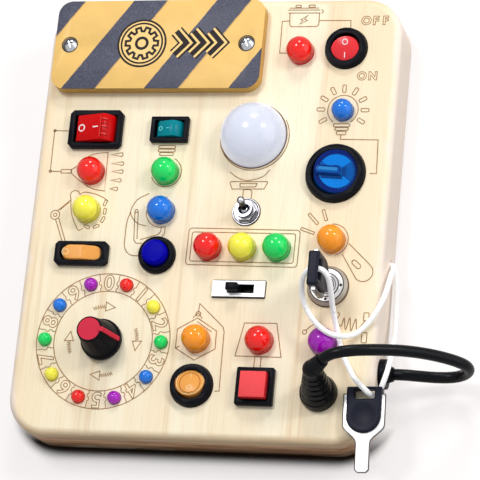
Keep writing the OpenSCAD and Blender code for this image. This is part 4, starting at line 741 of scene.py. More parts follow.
def flexible_rubber(name, colour):
    """Black flex with faint lengthwise draw lines on its own map."""
    mat, tree, shader, vector = start_material(name)
    uv = tree.nodes.new("ShaderNodeUVMap")
    uv.uv_map = "along"
    lines = noise_node(tree, uv.outputs[0], 40.0, 3.0, 0.6, (1.0, 0.4, 1.0))
    patch = noise_node(tree, vector, 200.0, 4.0, 0.6)
    tree.links.new(mix_colours(tree, patch, colour, tuple(c * 1.3 for c in colour[:3]) + (1.0,)),
        shader.inputs["Base Color"])
    tree.links.new(range_node(tree, patch, 0.3, 0.7, 0.24, 0.36), shader.inputs["Roughness"])
    shader.inputs["Specular IOR Level"].default_value = 0.12
    add_bump(tree, shader, lines, 0.00001)
    return mat


board_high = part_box("board_block")[1]
sign_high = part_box("sign_plate")[1]
CORNER = 0.015          # corner radius of the board
GLOSS = dict(rough=(0.2, 0.32), grain=1200.0, depth=0.00001, coat=0.08, soft=0.1, spec=0.05)
BLACK = dict(rough=(0.3, 0.44), spec=0.05)

MATERIALS = {
    # the board's long sides take a paler colour, in part as painted light on the lit right side
    "wood": board_wood("pine_board", rgb(252, 240, 212), rgb(246, 219, 179), rgb(214, 176, 130),
        rgb(250, 234, 220), rgb(232, 182, 134), rgb(150, 94, 54), board_high.x, board_high.y, CORNER,
        board_high.z),
    "cover_wood": pine_wood("cover_board", rgb(226, 200, 158), rgb(205, 170, 122), rgb(160, 122, 82), 0.5),
    "sign": striped_paint("striped_sign", rgb(238, 192, 106), rgb(42, 44, 66), rgb(196, 152, 66), sign_high.z,
        0.0481, -0.061, 0.03325, 0.0135, 0.71),
    "screw_chrome": plated_metal("screw_chrome", (0.46, 0.47, 0.5, 1), (0.2, 0.34), bands=0.9),
    "black_plastic": moulded_plastic("black_bezel", rgb(13, 14, 21), **BLACK),
    "key_plastic": moulded_plastic("key_grip", rgb(24, 26, 40), (0.34, 0.48), 2200.0, 0.00002, spec=0.1),
    "red_switch": moulded_plastic("red_rocker", rgb(206, 8, 12), **GLOSS),
    # painted shade: the square cap is a deeper red on its sides, below its top face
    "red_cap": moulded_plastic("red_cap", rgb(250, 86, 90), (0.4, 0.5), 900.0, 0.00001, spec=0.03,
        below=(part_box("square_button_cap")[1].z - 0.0003, rgb(206, 38, 44))),
    "pink_lens": moulded_plastic("pink_lens", rgb(236, 58, 64), **GLOSS),
    "teal_switch": moulded_plastic("teal_rocker", rgb(0, 130, 142), **GLOSS),
    "orange_switch": moulded_plastic("orange_rocker", rgb(240, 166, 84), **GLOSS),
    "blue_switch": moulded_plastic("blue_rocker", rgb(6, 86, 166), **GLOSS),
    "navy_button": moulded_plastic("navy_button", rgb(4, 2, 162), (0.3, 0.42), 1200.0, 0.00001, spec=0.03),
    "red_light": clear_light("red_light", rgb(246, 20, 10)),
    "yellow_light": clear_light("yellow_light", rgb(246, 236, 70), 0.88),
    "green_light": clear_light("green_light", rgb(0, 216, 96), 0.72),
    "blue_light": clear_light("blue_light", rgb(0, 114, 218), 0.66),
    "purple_light": clear_light("purple_light", rgb(166, 10, 182), 0.66),
    "orange_light": clear_light("orange_light", rgb(252, 150, 20), 0.86),
    # painted glow: the milky dome glows in its own colour, which flattens its shading
    "milky_lens": moulded_plastic("milky_dome", rgb(170, 173, 185), (0.22, 0.32), 400.0, 0.000006, 0.6, 0.9,
        0.4, 0.2),
    "ivory_plastic": moulded_plastic("ivory_base", rgb(236, 230, 214), (0.4, 0.5)),
    # painted shade: the lock's barrel is dark taupe below its top face, on its bevel
    "lock_chrome": plated_metal("lock_chrome", (0.88, 0.86, 0.86, 1), (0.42, 0.54), bands=0.6,
        step=(0.02255, (0.36, 0.32, 0.27, 1)), metallic=0.5),
    "key_steel": plated_metal("key_steel", (0.95, 0.95, 0.96, 1), (0.24, 0.4), 3200.0, 0.000006, 0.15, 0.85,
        1.2),
    "switch_steel": plated_metal("switch_steel", (0.36, 0.36, 0.39, 1), (0.4, 0.52), bands=0.8),
    "slide_plate": moulded_plastic("slide_plate", rgb(252, 252, 252), (0.2, 0.34)),
    "red_case": bushed_case("toggle_case", rgb(168, 40, 34), (0.28, 0.28, 0.31, 1), 0.0155),
    "knob_red": moulded_plastic("knob_inset", rgb(214, 44, 70), (0.35, 0.5), 1500.0, 0.00002, spec=0.06),
    "circuit_green": moulded_plastic("circuit_board", rgb(18, 110, 66), (0.3, 0.42)),
    "brass_tag": plated_metal("brass_tags", (0.83, 0.66, 0.34, 1), (0.2, 0.4)),
    "spring_steel": plated_metal("spring_steel", (0.7, 0.72, 0.75, 1), (0.2, 0.4)),
    "battery_skin": moulded_plastic("battery_skin", rgb(70, 76, 84), (0.26, 0.4)),
    "cable_rubber": flexible_rubber("lead_rubber", rgb(4, 5, 9)),
    "string_cotton": braided_cotton("string_cotton", rgb(252, 251, 250)),
    "wire_red": moulded_plastic("wire_skin", rgb(176, 26, 22), (0.3, 0.45)),
}
BURNT = burnt_line("burnt_line", rgb(160, 124, 82))
# painted shade: dark rings and lines on the wood where fittings meet the face
SHADE = burnt_line("painted_seat_shade", rgb(104, 74, 50))
# painted shade: dark lines and dots on fittings, at edges, gaps and small holes
EDGE_SHADE = moulded_plastic("painted_edge_shade", rgb(58, 50, 48), (0.4, 0.5), spec=0.1)
WHITE_PRINT = moulded_plastic("white_print", rgb(244, 226, 226), (0.4, 0.55))
# painted shade on the big rocker's ribs
RED_RIB_SHADE = moulded_plastic("painted_red_rib_shade", rgb(140, 8, 10), **GLOSS)
# painted highlight on the big rocker's ribs
RED_GLEAM = moulded_plastic("painted_red_highlight", rgb(250, 84, 70), **GLOSS)
# painted shade on the wide rocker's rim and bar
BLUE_SHADE = moulded_plastic("painted_blue_shade", rgb(6, 34, 112), **GLOSS)
# painted glow on the wide rocker
BLUE_GLOW = moulded_plastic("painted_blue_glow", rgb(14, 128, 224), **GLOSS)
# the wide rocker's teeth, and a painted shadow by its bar
MID_BLUE = moulded_plastic("mid_blue_teeth_and_shadow", rgb(10, 68, 138), **GLOSS)
# painted highlight on the wide rocker's bar
BLUE_GLEAM = moulded_plastic("painted_blue_highlight", rgb(48, 136, 204), **GLOSS)
PALE_TEAL = moulded_plastic("pale_teal_rib", rgb(112, 214, 220), **GLOSS)
DEEP_ORANGE = moulded_plastic("deep_orange_rib", rgb(186, 112, 34), **GLOSS)
PALE_ORANGE = moulded_plastic("pale_orange_rib", rgb(255, 214, 150), **GLOSS)
YELLOW_PRINT = moulded_plastic("yellow_print", rgb(244, 202, 120), (0.4, 0.55))
NAVY_PRINT = moulded_plastic("navy_print", rgb(40, 33, 34), (0.4, 0.55), spec=0.1)

SLOT_OF_NODE = {row["node"]: row["material_slot"] for row in frame["record"]["subparts"]}
BODY_OF_NODE = {node_name: body for body, names in frame["record"]["behaviour"]["bodies"].items()
    for node_name in names}


def dress(piece, material):
    """Gives a piece one material in all of its slots."""
    if not piece.data.materials:
        piece.data.materials.append(material)
    for one in piece.material_slots:
        one.material = material


for part, _ in string_parts:
    dress(part, MATERIALS["string_cotton"])
dress(lead, MATERIALS["cable_rubber"])
for node_name, node_object in frame["nodes"].items():
    dress(node_object, MATERIALS[SLOT_OF_NODE[node_name]])


# ---------------------------------------------------------------- softened copies of moulded parts

SOFT_SEGMENTS = 2       # steps in a rounded edge
SOFT_ANGLE = 34.0       # edges sharper than this are rounded, in degrees
FLAT_ANGLE = 0.6        # faces that meet flatter than this are joined, in degrees
SMOOTH_ANGLE = 32       # edges flatter than this are shaded smooth, in degrees


def stand_for(piece, node_name):
    """Lets a piece replace a CAD node, on the node's body and in its material."""
    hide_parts(node_name)
    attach(piece, BODY_OF_NODE[node_name])
    dress(piece, MATERIALS[SLOT_OF_NODE[node_name]])


def softened(node_name, radius):
    """A copy of a CAD part whose outer edges are rounded, standing for that part."""
    node = frame["nodes"][node_name]
    bm = bmesh.new()
    bm.from_mesh(node.data)
    bmesh.ops.remove_doubles(bm, verts=bm.verts, dist=MERGE)
    bmesh.ops.dissolve_limit(bm, angle_limit=math.radians(FLAT_ANGLE), verts=bm.verts, edges=bm.edges)
    bmesh.ops.dissolve_degenerate(bm, dist=SLIVER, edges=bm.edges)
    edges = [e for e in bm.edges
        if len(e.link_faces) == 2 and e.calc_face_angle(0) > math.radians(SOFT_ANGLE)]
    bmesh.ops.bevel(bm, geom=edges, offset=radius * MM, offset_type="OFFSET", segments=SOFT_SEGMENTS,
        profile=0.5, affect="EDGES", clamp_overlap=True)
    mesh = bpy.data.meshes.new(node_name + "_soft")
    bm.to_mesh(mesh)
    bm.free()
    for poly in mesh.polygons:
        poly.use_smooth = True
    mesh.set_sharp_from_angle(angle=math.radians(SMOOTH_ANGLE))
    piece = add_object(node_name + "_soft", mesh)
    stand_for(piece, node_name)
    return piece


for node_name, radius in (("big_rocker_housing", 0.15), ("small_rocker_housing", 0.12),
        ("boat_rocker_housing", 0.15), ("wide_rocker_housing", 0.3), ("red_rocker_housing", 0.25),
        ("orange_rocker_housing", 0.25), ("round_button_housing", 0.25), ("square_button_housing", 0.12),
        ("big_rocker_paddle", 0.4), ("small_rocker_paddle", 0.35), ("wide_rocker_paddle", 0.4),
        ("red_rocker_paddle", 0.4), ("orange_rocker_paddle", 0.4), ("round_button_cap", 0.3),
        ("square_button_cap", 0.3), ("slide_switch_knob", 0.35), ("selector_knob", 0.35),
        ("key_one_steel", 0.15), ("key_two_steel", 0.15), ("sign_plate", 0.4), ("lock_barrel", 0.15)):
    softened(node_name, radius)
plug = softened("plug_body", 0.2)
dress(bpy.data.objects["square_button_cap_soft"], MATERIALS["red_cap"])
dress(bpy.data.objects["red_rocker_paddle_soft"], MATERIALS["pink_lens"])


def melted(node_name, grain, rounds):
    """A copy of a moulded CAD part with every edge run round, standing for that part."""
    source = frame["nodes"][node_name]
    piece = add_object(node_name + "_round", source.data.copy())
    rebuilt = piece.modifiers.new("even", "REMESH")
    rebuilt.mode = "VOXEL"
    rebuilt.voxel_size = grain * MM
    rebuilt.use_smooth_shade = True
    relaxed = piece.modifiers.new("run_round", "SMOOTH")
    relaxed.factor = 0.5
    relaxed.iterations = rounds
    ready = piece.evaluated_get(bpy.context.evaluated_depsgraph_get())
    mesh = bpy.data.meshes.new_from_object(ready)
    piece.modifiers.clear()
    piece.data = mesh
    mesh.name = piece.name
    stand_for(piece, node_name)


melted("key_one_grip", 0.22, 60)
melted("key_two_grip", 0.22, 40)
melted("boat_rocker_paddle", 0.2, 20)


def lathe(bm, x, y, profile, sides):
    """Adds a turned shape, from radius and height pairs that run down from axis to axis."""
    turns = [math.tau * k / sides for k in range(sides)]
    rows = [[bm.verts.new(Vector((x + r * math.cos(a), y + r * math.sin(a), z)) * MM)
        for a in (turns if r else [0])] for r, z in profile]
    for above, below in zip(rows, rows[1:]):
        for k in range(sides):
            n = (k + 1) % sides
            if len(above) == 1:
                bm.faces.new((above[0], below[k], below[n]))
            elif len(below) == 1:
                bm.faces.new((above[k], below[0], above[n]))
            else:
                bm.faces.new((above[k], below[k], below[n], above[n]))


def shells(mesh):
    """The points of each separate solid of a mesh, in millimetres."""
    bm = bmesh.new()
    bm.from_mesh(mesh)
    bmesh.ops.remove_doubles(bm, verts=bm.verts, dist=MERGE)
    left = set(bm.verts)
    found = []
    while left:
        queue = [left.pop()]
        points = []
        while queue:
            vert = queue.pop()
            points.append(vert.co / MM)
            for edge in vert.link_edges:
                other = edge.other_vert(vert)
                if other in left:
                    left.remove(other)
                    queue.append(other)
        found.append(points)
    bm.free()
    return found


FLANGE_LIP = 0.5        # a light's flange behind the face is this much wider than the light
FLANGE_T = 1.0
LEG_L = 4.0
LEG_R = 0.3
LEG_PITCH = 2.54


def turned_light(bm, points):
    """One light: dome, barrel, flange behind the face and two legs, as wide as the CAD solid."""
    low, high = [Vector([pick(p[axis] for p in points) for axis in range(3)]) for pick in (min, max)]
    middle = (low + high) / 2
    r = (high.x - low.x) / 2 - FLANGE_LIP
    flange = low.z + LEG_L
    dome = [(r * math.sin(math.radians(a)), high.z - r + r * math.cos(math.radians(a)))
        for a in range(0, 91, 9)]
    lathe(bm, middle.x, middle.y, dome + [(r, flange + FLANGE_T), (r + FLANGE_LIP, flange + FLANGE_T),
        (r + FLANGE_LIP, flange), (0, flange)], 40)
    foot = next(p for p in points if p.z < low.z + 0.1)
    near = [p for p in points if p.z < low.z + 0.1 and (p - foot).length < 1]
    side = (sum(near, Vector()) / len(near) - middle).xy.normalized() * LEG_PITCH / 2
    for sign in (-1, 1):
        leg = middle.xy + sign * side
        lathe(bm, leg.x, leg.y, [(0, flange + 0.2), (LEG_R, flange + 0.2), (LEG_R, low.z), (0, low.z)], 8)


def light_row(node_name):
    """Lights of one colour, turned smooth, which carry which way each point looks along the board."""
    bm = bmesh.new()
    for points in shells(frame["nodes"][node_name].data):
        turned_light(bm, points)
    mesh = bpy.data.meshes.new(node_name + "_clear")
    bm.to_mesh(mesh)
    bm.free()
    for poly in mesh.polygons:
        poly.use_smooth = True
    mesh.set_sharp_from_angle(angle=math.radians(40))
    # which way each point looks along the board, for the lights' painted shade and glow
    towards = Vector((0.35, -0.9, 0.0)).normalized()
    shares = mesh.attributes.new(LOW_SIDE, "FLOAT", "POINT")
    for vertex in mesh.vertices:
        shares.data[vertex.index].value = 0.5 + 0.5 * vertex.normal.dot(towards)
    piece = add_object(mesh.name, mesh)
    stand_for(piece, node_name)


for colour in ("red", "yellow", "green", "blue", "purple", "orange"):
    light_row(colour + "_lights")


# ---------------------------------------------------------------- lines and marks

def add_strip(bm, points, width=LINE_W, closed=False, low=FACE_Z - 0.02, high=FACE_Z + LINE_T, lift=None):
    """Adds a thin raised strip along points, in millimetres, to a mesh."""
    pts = [Vector((p[0], p[1])) for p in points]
    if closed and (pts[0] - pts[-1]).length < 1e-6:
        pts.pop()
    count = len(pts)
    rows = []
    for k, p in enumerate(pts):
        before = pts[k - 1] if (k or closed) else None
        after = pts[(k + 1) % count] if (k < count - 1 or closed) else None
        if before is None:
            along = (after - p).normalized()
            across = Vector((-along.y, along.x))
        elif after is None:
            along = (p - before).normalized()
            across = Vector((-along.y, along.x))
        else:
            one = (p - before).normalized()
            two = (after - p).normalized()
            normal_a = Vector((-one.y, one.x))
            normal_b = Vector((-two.y, two.x))
            across = normal_a + normal_b
            if across.length < 1e-6:
                across = normal_a
            across.normalize()
            across *= min(1.0 / max(across.dot(normal_a), 0.35), 2.0)
        a = p + across * width / 2
        b = p - across * width / 2
        corners = [(a, low), (b, low), (b, high), (a, high)]
        rows.append([bm.verts.new(lift(Vector((q.x, q.y, z))) if lift else Vector((q.x, q.y, z)) * MM)
            for q, z in corners])
    spans = range(count if closed else count - 1)
    for k in spans:
        one, two = rows[k], rows[(k + 1) % count]
        for j in range(4):
            i = (j + 1) % 4
            bm.faces.new((one[j], two[j], two[i], one[i]))
    if not closed:
        bm.faces.new(rows[0])
        bm.faces.new(list(reversed(rows[-1])))


def arc(x, y, r, start, end, steps=0):
    """Points along an arc, its angles in degrees."""
    steps = steps or max(3, int(abs(end - start) / 9))
    return [(x + r * math.cos(math.radians(start + (end - start) * k / steps)),
        y + r * math.sin(math.radians(start + (end - start) * k / steps))) for k in range(steps + 1)]


def box_line(x, y, w, h, r=0.3, turn=0.0):
    """Outline of a rectangle with round corners about a middle, turned by degrees."""
    corners = []
    for cx, cy, a in ((w / 2 - r, h / 2 - r, 0), (-w / 2 + r, h / 2 - r, 90), (-w / 2 + r, -h / 2 + r, 180),
            (w / 2 - r, -h / 2 + r, 270)):
        corners += arc(cx, cy, r, a, a + 90, 4)
    c, s = math.cos(math.radians(turn)), math.sin(math.radians(turn))
    return [(x + px * c - py * s, y + px * s + py * c) for px, py in corners]


def curve_through(points, steps=5):
    """Flat points along a smooth curve through a few."""
    flat = smooth_route([(p[0], p[1], 0) for p in points], steps)
    return [(p.x / MM, p.y / MM) for p in flat]


def glyph_loops(sign, size, x, y, turn=0.0, bold=0.0):
    """Outlines of a figure or letter, its middle at a point, turned by degrees."""
    curve = bpy.data.curves.new("glyph", "FONT")
    curve.body = sign
    curve.size = size
    curve.offset = bold
    curve.align_x = "CENTER"
    curve.align_y = "CENTER"
    curve.resolution_u = 3
    holder = add_object("glyph", curve)
    mesh = bpy.data.meshes.new_from_object(holder)
    bm = bmesh.new()
    bm.from_mesh(mesh)
    bmesh.ops.remove_doubles(bm, verts=bm.verts, dist=1e-5)
    loops = []
    left = {e for e in bm.edges if len(e.link_faces) == 1}
    while left:
        edge = left.pop()
        first, at = edge.verts
        loop = [first.co.copy(), at.co.copy()]
        while at != first:
            nxt = next((e for e in at.link_edges if e in left), None)
            if nxt is None:
                break
            left.discard(nxt)
            at = nxt.other_vert(at)
            loop.append(at.co.copy())
        loops.append(loop[:-1])
    bm.free()
    bpy.data.objects.remove(holder)
    bpy.data.meshes.remove(mesh)
    bpy.data.curves.remove(curve)
    xs = [p.x for loop in loops for p in loop]
    ys = [p.y for loop in loops for p in loop]
    mid_x, mid_y = (min(xs) + max(xs)) / 2, (min(ys) + max(ys)) / 2
    c, s = math.cos(math.radians(turn)), math.sin(math.radians(turn))
    return [[(x + (p.x - mid_x) * c - (p.y - mid_y) * s, y + (p.x - mid_x) * s + (p.y - mid_y) * c)
        for p in loop] for loop in loops]


def close_piece(bm, name, material, body):
    """Turns a mesh under construction into a finished piece on a body."""
    bmesh.ops.recalc_face_normals(bm, faces=bm.faces)
    mesh = bpy.data.meshes.new(name)
    bm.to_mesh(mesh)
    bm.free()
    piece = add_object(name, mesh)
    dress(piece, material)
    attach(piece, body)


def draw_battery(line):
    """Battery beside the top light."""
    line([(25.3, 80.2), (25.6, 75.4), (26.3, 74.6), (36.2, 74.6), (36.9, 75.4), (36.8, 80.2)])
    line([(24.7, 80.2), (37.0, 80.1)])
    line([(24.6, 81.4), (36.9, 81.3)])
    line([(25.1, 82.2), (36.4, 82.1)])
    line(box_line(28.4, 82.9, 2.0, 0.9, 0.2), True)
    line(box_line(33.7, 82.9, 2.4, 0.9, 0.2), True)
    line(arc(37.5, 80.7, 0.7, -90, 90, 6))
    line([(32.6, 79.3), (29.8, 77.5), (30.7, 77.2), (29.4, 75.5), (32.4, 77.1), (31.2, 77.7)], True)
    line([(25.3, 77.0), (22.6, 76.8), (22.7, 64.0), (25.8, 63.9)])
    line([(37.0, 77.0), (49.2, 76.9), (49.4, 74.0)])


def draw_letters(line):
    """Letters of the two positions."""
    for k, sign in enumerate("OFF"):
        for loop in glyph_loops(sign, 4.6, 55.2 + 3.7 * k, 76.8, 0, 0.16):
            line(loop, True, 0.3)
    for k, sign in enumerate("ON"):
        for loop in glyph_loops(sign, 4.4, 55.2 + 4.2 * k, 54.6, 0, 0.16):
            line(loop, True, 0.3)


def draw_small_bulb(line):
    """Lamp with rays round the small blue light."""
    for x, y in ((49.0, 49.5), (44.9, 48.6), (53.3, 48.4), (41.7, 45.5), (56.4, 45.2), (40.7, 41.3),
            (57.5, 41.0), (41.8, 36.9), (56.3, 36.7)):
        line(box_line(x, y, 3.0, 1.3, 0.4, math.degrees(math.atan2(y - 41.1, x - 49.1))), True)
    line(arc(49.1, 41.1, 5.8, -55, 235))
    line(box_line(49.1, 35.0, 6.2, 1.2, 0.4), True)
    line(box_line(49.2, 33.6, 5.0, 1.2, 0.4), True)
    line(box_line(49.2, 32.0, 3.6, 1.4, 0.5), True)
    line([(49.1, 31.2), (49.1, 29.5), (63.4, 29.3), (63.8, 16.2), (61.2, 16.2)])


def draw_upper_torch(line):
    """Torch round the upper left light, with its rays."""
    line([(-57.3, 32.7), (-63.3, 32.8), (-63.1, 16.4), (-58.8, 16.3)])
    line(arc(-63.2, 32.8, 0.5, 0, 360, 8), True)
    line(arc(-63.1, 16.4, 0.5, 0, 360, 8), True)
    line(box_line(-56.7, 16.4, 4.1, 1.4, 0.2), True)
    line(curve_through([(-54.6, 17.1), (-52.4, 18.7), (-50.2, 21.3), (-46.7, 23.2), (-43.6, 23.8),
        (-40.8, 24.0)]) + [(-40.6, 16.6), (-40.5, 8.6)] + curve_through([(-40.5, 8.6), (-45.6, 9.6),
        (-50.7, 12.6), (-54.6, 15.7)]), True)
    for x, y, w, h in ((-37.2, 23.2, 4.9, 1.5), (-36.5, 19.6, 4.9, 1.4), (-36.2, 16.4, 4.4, 1.5),
            (-36.4, 12.9, 4.1, 1.4), (-36.9, 9.5, 3.0, 1.5)):
        line([(x - w / 2, y), (x + w / 2 - 0.4, y + h / 2), (x + w / 2, y + h / 4), (x + w / 2, y - h / 4),
            (x + w / 2 - 0.4, y - h / 2)], True, 0.35)


def draw_table_lamp(line):
    """Table lamp round the yellow light."""
    line([(-53.4, 5.1), (-53.9, 7.0), (-53.5, 8.1), (-52.2, 8.8), (-50.8, 8.4), (-50.0, 7.2)])
    line(curve_through([(-50.0, 7.2), (-48.2, 8.1), (-44.1, 7.4), (-41.0, 6.2), (-38.6, 4.6)]))
    line(curve_through([(-53.4, 5.1), (-53.0, 1.8), (-52.1, -1.6), (-50.4, -5.0), (-49.0, -7.0),
        (-47.3, -6.2)]))
    for x, y, turn in ((-39.6, 3.9, 70), (-39.4, 0.6, 88), (-39.8, -2.7, 68), (-42.1, -5.4, 24),
            (-45.8, -5.6, -24)):
        line(box_line(x, y, 2.4, 1.0, 0.4, turn), True, 0.35)
    line([(-53.5, 4.9), (-58.3, 0.6)])
    line([(-53.9, 4.1), (-57.4, 0.9)])
    line(arc(-59.0, -1.0, 1.8, 0, 360, 18), True)
    line(arc(-59.0, -1.0, 0.7, 0, 360, 10), True, 0.35)
    line([(-58.6, -2.8), (-54.9, -11.6)])
    line([(-57.4, -2.4), (-53.6, -11.6)])


def draw_green_bulb(line):
    """Screw base and ring of the bulb round the green light."""
    line(box_line(-17.6, 26.3, 6.6, 1.1, 0.4), True)
    line(box_line(-17.6, 24.9, 6.6, 1.1, 0.4), True)
    line(box_line(-17.6, 23.5, 5.4, 1.1, 0.4), True)
    line(arc(-16.9, 16.4, 5.9, -160, 62))


def draw_magnifier(line):
    """Magnifier and its grip round the blue light."""
    line(curve_through([(-22.6, 7.8), (-27.0, 5.3), (-29.1, 1.2), (-28.4, -1.6), (-25.8, -4.1),
        (-22.5, -5.0)]))
    line(arc(-16.9, 0.6, 6.1, 175, 290))
    line([(-16.6, -5.2), (-16.5, -7.1), (-17.5, -8.3), (-24.2, -10.4)])
    line([(-15.0, -5.2), (-15.0, -7.7), (-15.8, -9.2)])
    line([(-27.5, 0.4), (-26.7, -10.6), (-25.7, -11.8), (-23.4, -11.8)])
    line([(-26.2, 0.5), (-25.5, -10.2)])
    line(arc(-26.9, 0.8, 0.6, 0, 360, 10), True)
    line(curve_through([(-29.2, 0.4), (-30.2, -3.6), (-30.3, -9.0), (-30.1, -13.0), (-28.8, -15.5),
        (-26.7, -16.6), (-24.0, -16.7)]))


def draw_dome_bulb(line):
    """Base and neck of the bulb round the dome."""
    line(arc(16.2, 30.5, 13.3, 150, 390))
    line(curve_through([(7.9, 16.5), (11.3, 14.2), (15.2, 13.2), (20.5, 14.6), (23.3, 17.4)]))
    line([(8.8, 12.7), (22.6, 12.8), (22.9, 12.4), (21.7, 9.9), (9.4, 9.8), (8.4, 12.2)], True)
    line([(12.3, 12.0), (18.8, 12.0), (18.4, 10.7), (12.4, 10.6)], True, 0.35)
    line([(13.9, 5.6), (13.8, 9.2), (14.2, 9.7), (16.3, 9.7), (17.2, 8.9), (17.1, 5.8)])


def draw_traffic_frame(line):
    """Double frame of the traffic lights."""
    line(box_line(15.7, -12.9, 42.6, 14.2, 1.2, -0.6), True)
    line(box_line(15.6, -12.9, 39.6, 11.3, 0.8, -0.4), True)


def draw_lower_torch(line):
    """Torch with rays at the orange light."""
    for a, b in (((37.2, -5.3), (42.3, -7.1)), ((39.7, 0.4), (43.4, -3.5)), ((45.0, 2.0), (46.5, -2.1))):
        line(box_line((a[0] + b[0]) / 2, (a[1] + b[1]) / 2, math.dist(a, b), 1.0, 0.2,
            math.degrees(math.atan2(b[1] - a[1], b[0] - a[0]))), True, 0.35)
    line(arc(49.3, -9.4, 6.0, -75, 95))
    line([(55.7, -10.8), (64.2, -18.8)] + arc(61.9, -21.6, 3.6, 50, -135, 10) + [(53.6, -15.0)])
    line(box_line(59.1, -18.7, 4.0, 1.7, 0.85, -42), True)


def draw_coil(line):
    """Coil between two small plates."""
    line(curve_through([(53.6, -36.8), (54.5, -37.6), (53.8, -39.6), (55.3, -42.2), (56.3, -39.0),
        (57.1, -43.4), (58.4, -38.9), (59.1, -43.8), (60.6, -39.3), (61.3, -43.2), (62.9, -41.5),
        (64.0, -39.8)]))
    line(box_line(64.4, -38.4, 1.9, 3.0, 0.3), True)
    line(box_line(64.2, -46.2, 1.9, 3.8, 0.3), True)
    line(arc(42.0, -44.6, 0.8, 0, 360, 12), True)
    line(curve_through([(42.6, -43.9), (44.6, -42.0), (47.4, -40.9)]))


def draw_lantern(line):
    """Hanging lantern and its wire."""
    line([(1.2, -40.2), (-6.1, -44.6), (-6.1, -51.8), (1.4, -56.2), (9.0, -51.8), (8.9, -45.0)], True)
    line([(1.2, -41.6), (7.0, -45.4)], False, 0.35)
    line([(-4.6, -51.0), (-6.1, -51.8)], False, 0.35)
    line([(-0.6, -40.2), (1.3, -38.2), (3.0, -40.4)])
    line(arc(1.3, -38.6, 0.9, 0, 360, 12), True, 0.35)
    line([(1.3, -37.7), (1.5, -34.7), (11.2, -43.4), (11.8, -45.2), (12.1, -67.5), (10.4, -67.6)])


def draw_lampshade(line):
    """Lampshade and stem."""
    line([(19.2, -41.7), (31.4, -41.6), (34.1, -54.3), (16.8, -54.2)], True)
    line([(24.3, -54.4), (24.2, -58.9)])
    line([(26.7, -54.4), (26.7, -58.9)])


def draw_dial(line):
    """Dial."""
    dial = (-34.4, -49.8)
    line(arc(*dial, 25.9, 0, 360, 90), True)
    line(arc(*dial, 19.1, 0, 360, 72), True)

    def around(r, turn):
        return (dial[0] + r * math.cos(math.radians(turn)), dial[1] + r * math.sin(math.radians(turn)))

    for k in range(10):
        angle = 90 - 36 * k
        at = around(22.5, angle)
        for loop in glyph_loops(str(k), 8.2, *at, angle - 90, 0.14):
            line(loop, True, 0.32)
        for turn in (angle - 8.8, angle + 8.8):
            line([around(r, turn + side) for r, side in ((19.1, 0), (20.2, 0.2), (20.6, -1.1), (21.5, -1.0),
                (21.9, 0.9), (22.8, 1.1), (23.3, -0.2), (24.4, 0.1), (25.9, 0))], False, 0.3)
    for quarter in range(4):
        a = 72 - 90 * quarter
        line([around(13.2 + 0.6 * (-1) ** step, a + 40 - 1.5 * step) for step in range(14)], False, 0.34)
        line([around(11.5, a + 19), around(13.3, a + 3), around(15.0, a + 19)], True, 0.34)


def burnt_drawings():
    """Line drawings scorched into the face round the lights and switches."""
    bm = bmesh.new()

    def line(points, closed=False, width=LINE_W):
        add_strip(bm, points, width, closed)

    for draw in (draw_battery, draw_letters, draw_small_bulb, draw_upper_torch, draw_table_lamp,
            draw_green_bulb, draw_magnifier, draw_dome_bulb, draw_traffic_frame, draw_lower_torch,
            draw_coil, draw_lantern, draw_lampshade, draw_dial):
        draw(line)
    close_piece(bm, "burnt_drawings", BURNT, "board")


burnt_drawings()


# ---------------------------------------------------------------- marks on the rockers

def tilted_about(pivot, axis, degrees):
    """A function that leans points about a pivot, in millimetres, and gives metres."""
    turn = Matrix.Rotation(math.radians(degrees), 3, axis)
    base = Vector(pivot)
    return lambda p: (base + turn @ p) * MM


def rocker_marks(name, joint, degrees, top, shapes, width, material, reach=0):
    """Thin raised lines on a paddle's top, drawn flat about its pivot and leant with it.

    Beyond the flat the paddle rounds off at the distance reach from its pivot, and the lines follow.
    """
    facts = next(one for one in frame["joints"] if one["name"] == joint)
    pivot = [value / MM for value in facts["pos_m"]]
    axis = "X" if facts["axis"][0] else "Y"
    lean = tilted_about(pivot, axis, degrees)

    def lift(point):
        if reach:
            point = Vector(point)
            point.z -= top - min(top, math.sqrt(max(reach * reach - point.x * point.x, 0)))
        return lean(point)

    bm = bmesh.new()
    for points, closed in shapes:
        add_strip(bm, points, width, closed, top - 0.03, top + 0.04, lift)
    close_piece(bm, name, material, facts["child"])


def ring(x, y, r, steps=24):
    return (arc(x, y, r, 0, 360, steps), True)


BIG_TOP, SMALL_TOP, BOAT_TOP, WIDE_TOP, ROUND_TOP = 5.8, 4.8, 5.3, 4.6, 4.2
rocker_marks("big_rocker_marks", "big_rocker_tilt", -15, BIG_TOP,
    [ring(-3.8, 0, 1.25), ([(1.2, 0), (3.5, 0)], False)], 0.5, WHITE_PRINT)
BIG_REACH = 8.25
# painted shade: dark red lines along the ridge and ribs of the big paddle
rocker_marks("big_rocker_rib_shades", "big_rocker_tilt", -15, BIG_TOP,
    [([(4.9, -4.4), (4.9, 4.4)], False)] + [([(4.9 + 0.45 * k, y) for k in range(6)], False)
        for y in (-3.4, -1.9, -0.4, 1.1, 2.6)], 0.22, RED_RIB_SHADE, BIG_REACH)
